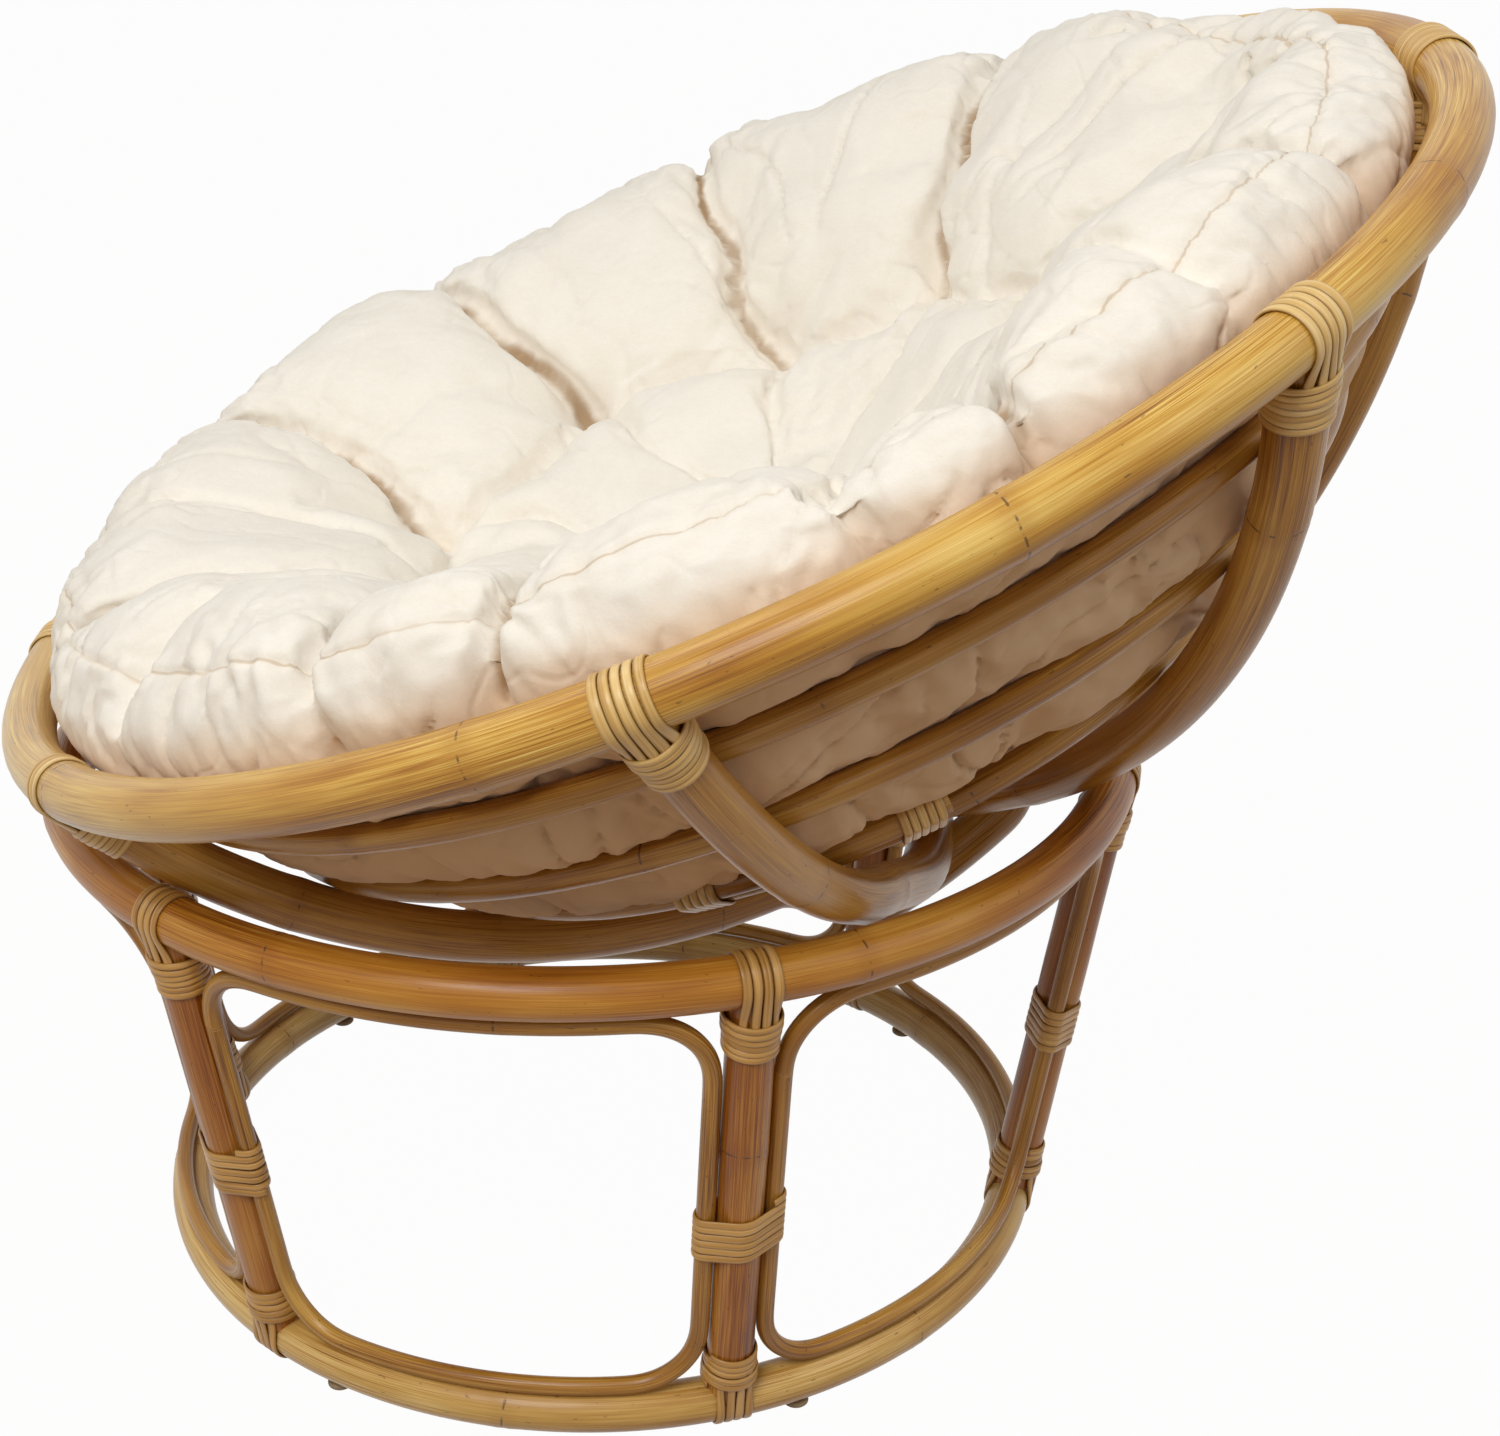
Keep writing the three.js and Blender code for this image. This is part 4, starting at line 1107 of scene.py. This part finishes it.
def evaluated(piece):
    graph = bpy.context.evaluated_depsgraph_get()
    return bpy.data.meshes.new_from_object(piece.evaluated_get(graph))


hold = {"tuftReach": 0.014, "fold": 0.55, "foldReach": 0.007, "hoopReach": 0.010, "middle": 0.7,
        "rim": 0.85, "rimReach": 0.016}


def heldShare(at):
    # how firmly a point stays: tufts, folds, and where the cushion lies on the hoops and the rim
    held = bell(at.tuftGap, hold["tuftReach"]) * at.onTop
    held = np.maximum(held, hold["fold"] * bell(at.narrow, hold["foldReach"]) * at.onTop)
    rests = restLifts()
    for rest in rests[:-1]:
        atHoop = bell((at.lift - rest) * hoopSphere, hold["hoopReach"])
        held = np.maximum(held, atHoop * at.below)
    held = np.maximum(held, (at.lift < rests[0]) * at.below * hold["middle"])
    atRim = bell(at.points[:, 2], hold["rimReach"]) * at.outside
    return np.maximum(held, hold["rim"] * atRim)


def fillWithAir(points, faces):
    # the closed form is meshed evenly, swollen by air as cloth, and each point's move is capped
    start = addMesh("start", points, faces)
    even = start.modifiers.new("even", "REMESH")
    even.mode, even.voxel_size, even.use_smooth_shade = "VOXEL", air["voxel"], True
    mesh = evaluated(start)
    bpy.data.objects.remove(start)
    piece = addObject("filled", mesh)
    before, faces = meshArrays(mesh)
    held = np.round(heldShare(PadPlaces(before)) * air["levels"]).astype(int)
    group = piece.vertex_groups.new(name="held")
    for level in range(1, air["levels"] + 1):
        group.add(np.flatnonzero(held == level).tolist(), level / air["levels"], "REPLACE")
    cloth = piece.modifiers.new("air", "CLOTH")
    for key, value in airCloth.items():
        setattr(cloth.settings, key, value)
    cloth.settings.vertex_group_mass = group.name
    cloth.settings.effector_weights.gravity = 0
    cloth.collision_settings.use_collision = False
    for moment in range(1, air["frames"] + 1):
        bpy.context.scene.frame_set(moment)
    move = meshArrays(evaluated(piece))[0] - before
    bpy.context.scene.frame_set(1)
    bpy.data.objects.remove(piece)
    length = np.linalg.norm(move, axis=1, keepdims=True)
    print("cushion filled:", len(before), "points, furthest move", round(float(length.max()), 4))
    return before, before + move * np.minimum(1, air["cap"] / np.maximum(length, 1e-9)), faces


def clearOf(points, radius, height, tube):
    # points inside a ring's tube are moved to its surface; the tube may change from point to point
    far = np.hypot(points[:, 0], points[:, 1])
    away = np.stack([far - radius, points[:, 2] - height], -1)
    length = np.linalg.norm(away, axis=1)
    away *= np.maximum(1, tube / np.maximum(length, 1e-6))[:, None]
    scale = (radius + away[:, 0]) / np.maximum(far, 1e-6)
    return np.stack([points[:, 0] * scale, points[:, 1] * scale, height + away[:, 1]], -1)


def padPoints(points, at):
    # the detailed surface is kept off the rim, the hoops and the ribs, in the bowl's own axes
    points = clearOf(points, rimRadius, 0, bowl["rimTube"] + pad["rimClear"])
    last, first = splice["angles"]
    turned = (np.degrees(at.turn) - first + pad["spliceRoom"]) % 360
    double = 1 + pad["spliceSwell"] * (turned < last - first + 2 * pad["spliceRoom"])
    for depth in bowl["hoopDepths"]:
        tube = bowl["hoopTube"] * (double if depth == lowestDepth else 1)
        points = clearOf(points, hoopRadius(depth), -depth, tube + pad["clear"])
    points[:, 2] -= bowl["rimDepth"]
    far = np.linalg.norm(points, axis=1, keepdims=True)
    points *= np.minimum(1, (ribSphere - bowl["ribTube"] - pad["clear"]) / far)
    return points


def addCushion():
    # the profile turned round, with its form, then its filling, then its detail along the normals
    size = len(padLine) - 2, pad["around"]
    grid = polar(padLine[1:-1, :1], fullTurn(pad["around"])[None], padLine[1:-1, 1:]).reshape(-1, 3)
    at = PadPlaces(grid)
    grid = grid + at.out * padForm(at)[:, None]
    ends = [[0, 0, padLine[0, 1]], [0, 0, grid[-pad["around"]:, 2].mean()]]
    rest = points = np.concatenate([grid, ends])
    faces = [gridFaces(*size, False), capFaces(*size)]
    rest, points, quads = fillWithAir(points, faces)
    piece = addMesh("cushion", points, [quads], {"rest": rest})
    finer = piece.modifiers.new("finer", "SUBSURF")
    finer.levels = finer.render_levels = 1
    mesh = evaluated(piece)
    bpy.data.objects.remove(piece)
    points, quads = meshArrays(mesh)
    rest = getValues(mesh.attributes["rest"].data, "vector").astype(float)
    faces = [quads]
    piece = addMesh("cushion", points, faces)
    at = PadPlaces(rest)
    move, fold = padDetail(at)
    points = padPoints(points + getValues(piece.data.vertices, "normal") * move[:, None], at)
    piece.data.vertices.foreach_set("co", fromBowl(points).astype(np.float32).ravel())

    # The warm painted shade, for the underside's shade and the light the cane bounces onto it,
    # keeps to the underside, which lies along its sphere
    away = np.linalg.norm(rest - [0, 0, bowl["rimDepth"]], axis=1)
    start, full = (pad["under"] - gap for gap in pad["paintedShadeFrom"])
    below = at.below * smooth(start, full, away)
    # painted shade: the third part of cloth is the underside's warm painted shade, and fold,
    # creaseGap and seamGap carry the painted shade of the folds, creases and seam
    setValues(piece.data, {"cloth": polar(at.reach, at.turn, below), "fold": fold,
                           "creaseGap": at.narrow + (1 - at.over) * 0.02, "seamGap": at.side})
    piece.data.update()
    return settle(piece, "cushion", "cloth", "cushion")


cushion = addCushion()
print("cushion made:", len(cushion.data.vertices), "points")


# Floor, light and camera

stage = {"floor": (0.34, 0.24, 0.15), "size": 40, "white": 0.978, "behind": 0.982,
         "world": 0.34, "worldTone": (1, 0.985, 0.96, 1)}
pureWhite = (1, 1, 1, 1)


def backdrop(finish):
    # 1 where the camera, gloss or glass sees it, and 0 for the light that it gives
    path = finish.node("ShaderNodeLightPath").socket.node
    seen = Value(finish, path.outputs["Is Camera Ray"])
    for label in ("Is Glossy Ray", "Is Transmission Ray"):
        seen = seen.math("MAXIMUM", Value(finish, path.outputs[label]))
    return seen


def addFloor():
    corners = np.array([[-1, -1, 0], [1, -1, 0], [1, 1, 0], [-1, 1, 0]]) * stage["size"]
    floor = addMesh("floor", corners, [np.arange(4)[None]])
    finish = Finish("pale floor")
    finish.set(colour=(*stage["floor"], 1), roughness=0.9, specular=0.0)
    white = finish.node("ShaderNodeEmission", None, {"Color": pureWhite, "Strength": 1})
    lit = Value(finish, finish.shader.outputs[0])
    share = backdrop(finish) * stage["white"]
    mixed = finish.node("ShaderNodeMixShader", None, {0: share, 1: lit, 2: white})
    finish.fill(finish.tree.nodes["Material Output"].inputs["Surface"], mixed)
    floor.data.materials.append(finish.material)


def setWorld():
    world = bpy.data.worlds.new("studio")
    bpy.context.scene.world = world
    world.use_nodes = True
    world.node_tree.nodes.clear()
    finish = Finish("studio", world.node_tree)
    white = finish.node("ShaderNodeBackground", None,
                        {"Color": pureWhite, "Strength": stage["behind"]})
    light = finish.node("ShaderNodeBackground", None,
                        {"Color": stage["worldTone"], "Strength": stage["world"]})
    mixed = finish.node("ShaderNodeMixShader", None, {0: backdrop(finish), 1: light, 2: white})
    finish.fill(finish.tree.nodes.new("ShaderNodeOutputWorld").inputs["Surface"], mixed)


lamps = [
    {"name": "key", "place": (2.2, -0.9, 2.8), "size": 1.2, "power": 56},
    {"name": "fill", "place": (1.2, 2.4, 2.4), "size": 2.0, "power": 14},
    {"name": "left", "place": (-0.8, -1.3, 2.7), "size": 0.9, "power": 11},
]
lampAim = (0, 0, 0.45)


def addLamps():
    for lamp in lamps:
        data = bpy.data.lights.new(lamp["name"], "AREA")
        data.shape = "SQUARE"
        data.size = lamp["size"]
        data.energy = lamp["power"]
        made = addObject(lamp["name"], data)
        made.location = lamp["place"]
        aim = Vector(lampAim) - made.location
        made.rotation_euler = aim.to_track_quat("-Z", "Y").to_euler()


view = {"place": (1.586, -0.051, 1.085), "aim": (0, -0.081, 0.3378), "roll": -1.83,
        "pixels": 2350, "width": 1500, "right": -160.6, "down": 65.8, "sensor": 36}


def addCamera():
    data = bpy.data.cameras.new("camera")
    camera = addObject("camera", data)
    ahead = (Vector(view["aim"]) - Vector(view["place"])).normalized()
    level = ahead.cross(Vector((0, 0, 1))).normalized()
    above = level.cross(ahead)
    roll = math.radians(view["roll"])
    right = level * math.cos(roll) + above * math.sin(roll)
    up = above * math.cos(roll) - level * math.sin(roll)
    turned = Matrix((right, up, -ahead)).transposed().to_4x4()
    camera.matrix_world = Matrix.Translation(view["place"]) @ turned
    data.sensor_width = view["sensor"]
    data.lens = view["pixels"] / view["width"] * view["sensor"]
    data.shift_x = -view["right"] / view["width"]
    data.shift_y = view["down"] / view["width"]
    bpy.context.scene.camera = camera


addFloor()
setWorld()
addLamps()
addCamera()
bpy.context.scene.view_settings.view_transform = "Standard"
print("stage made")
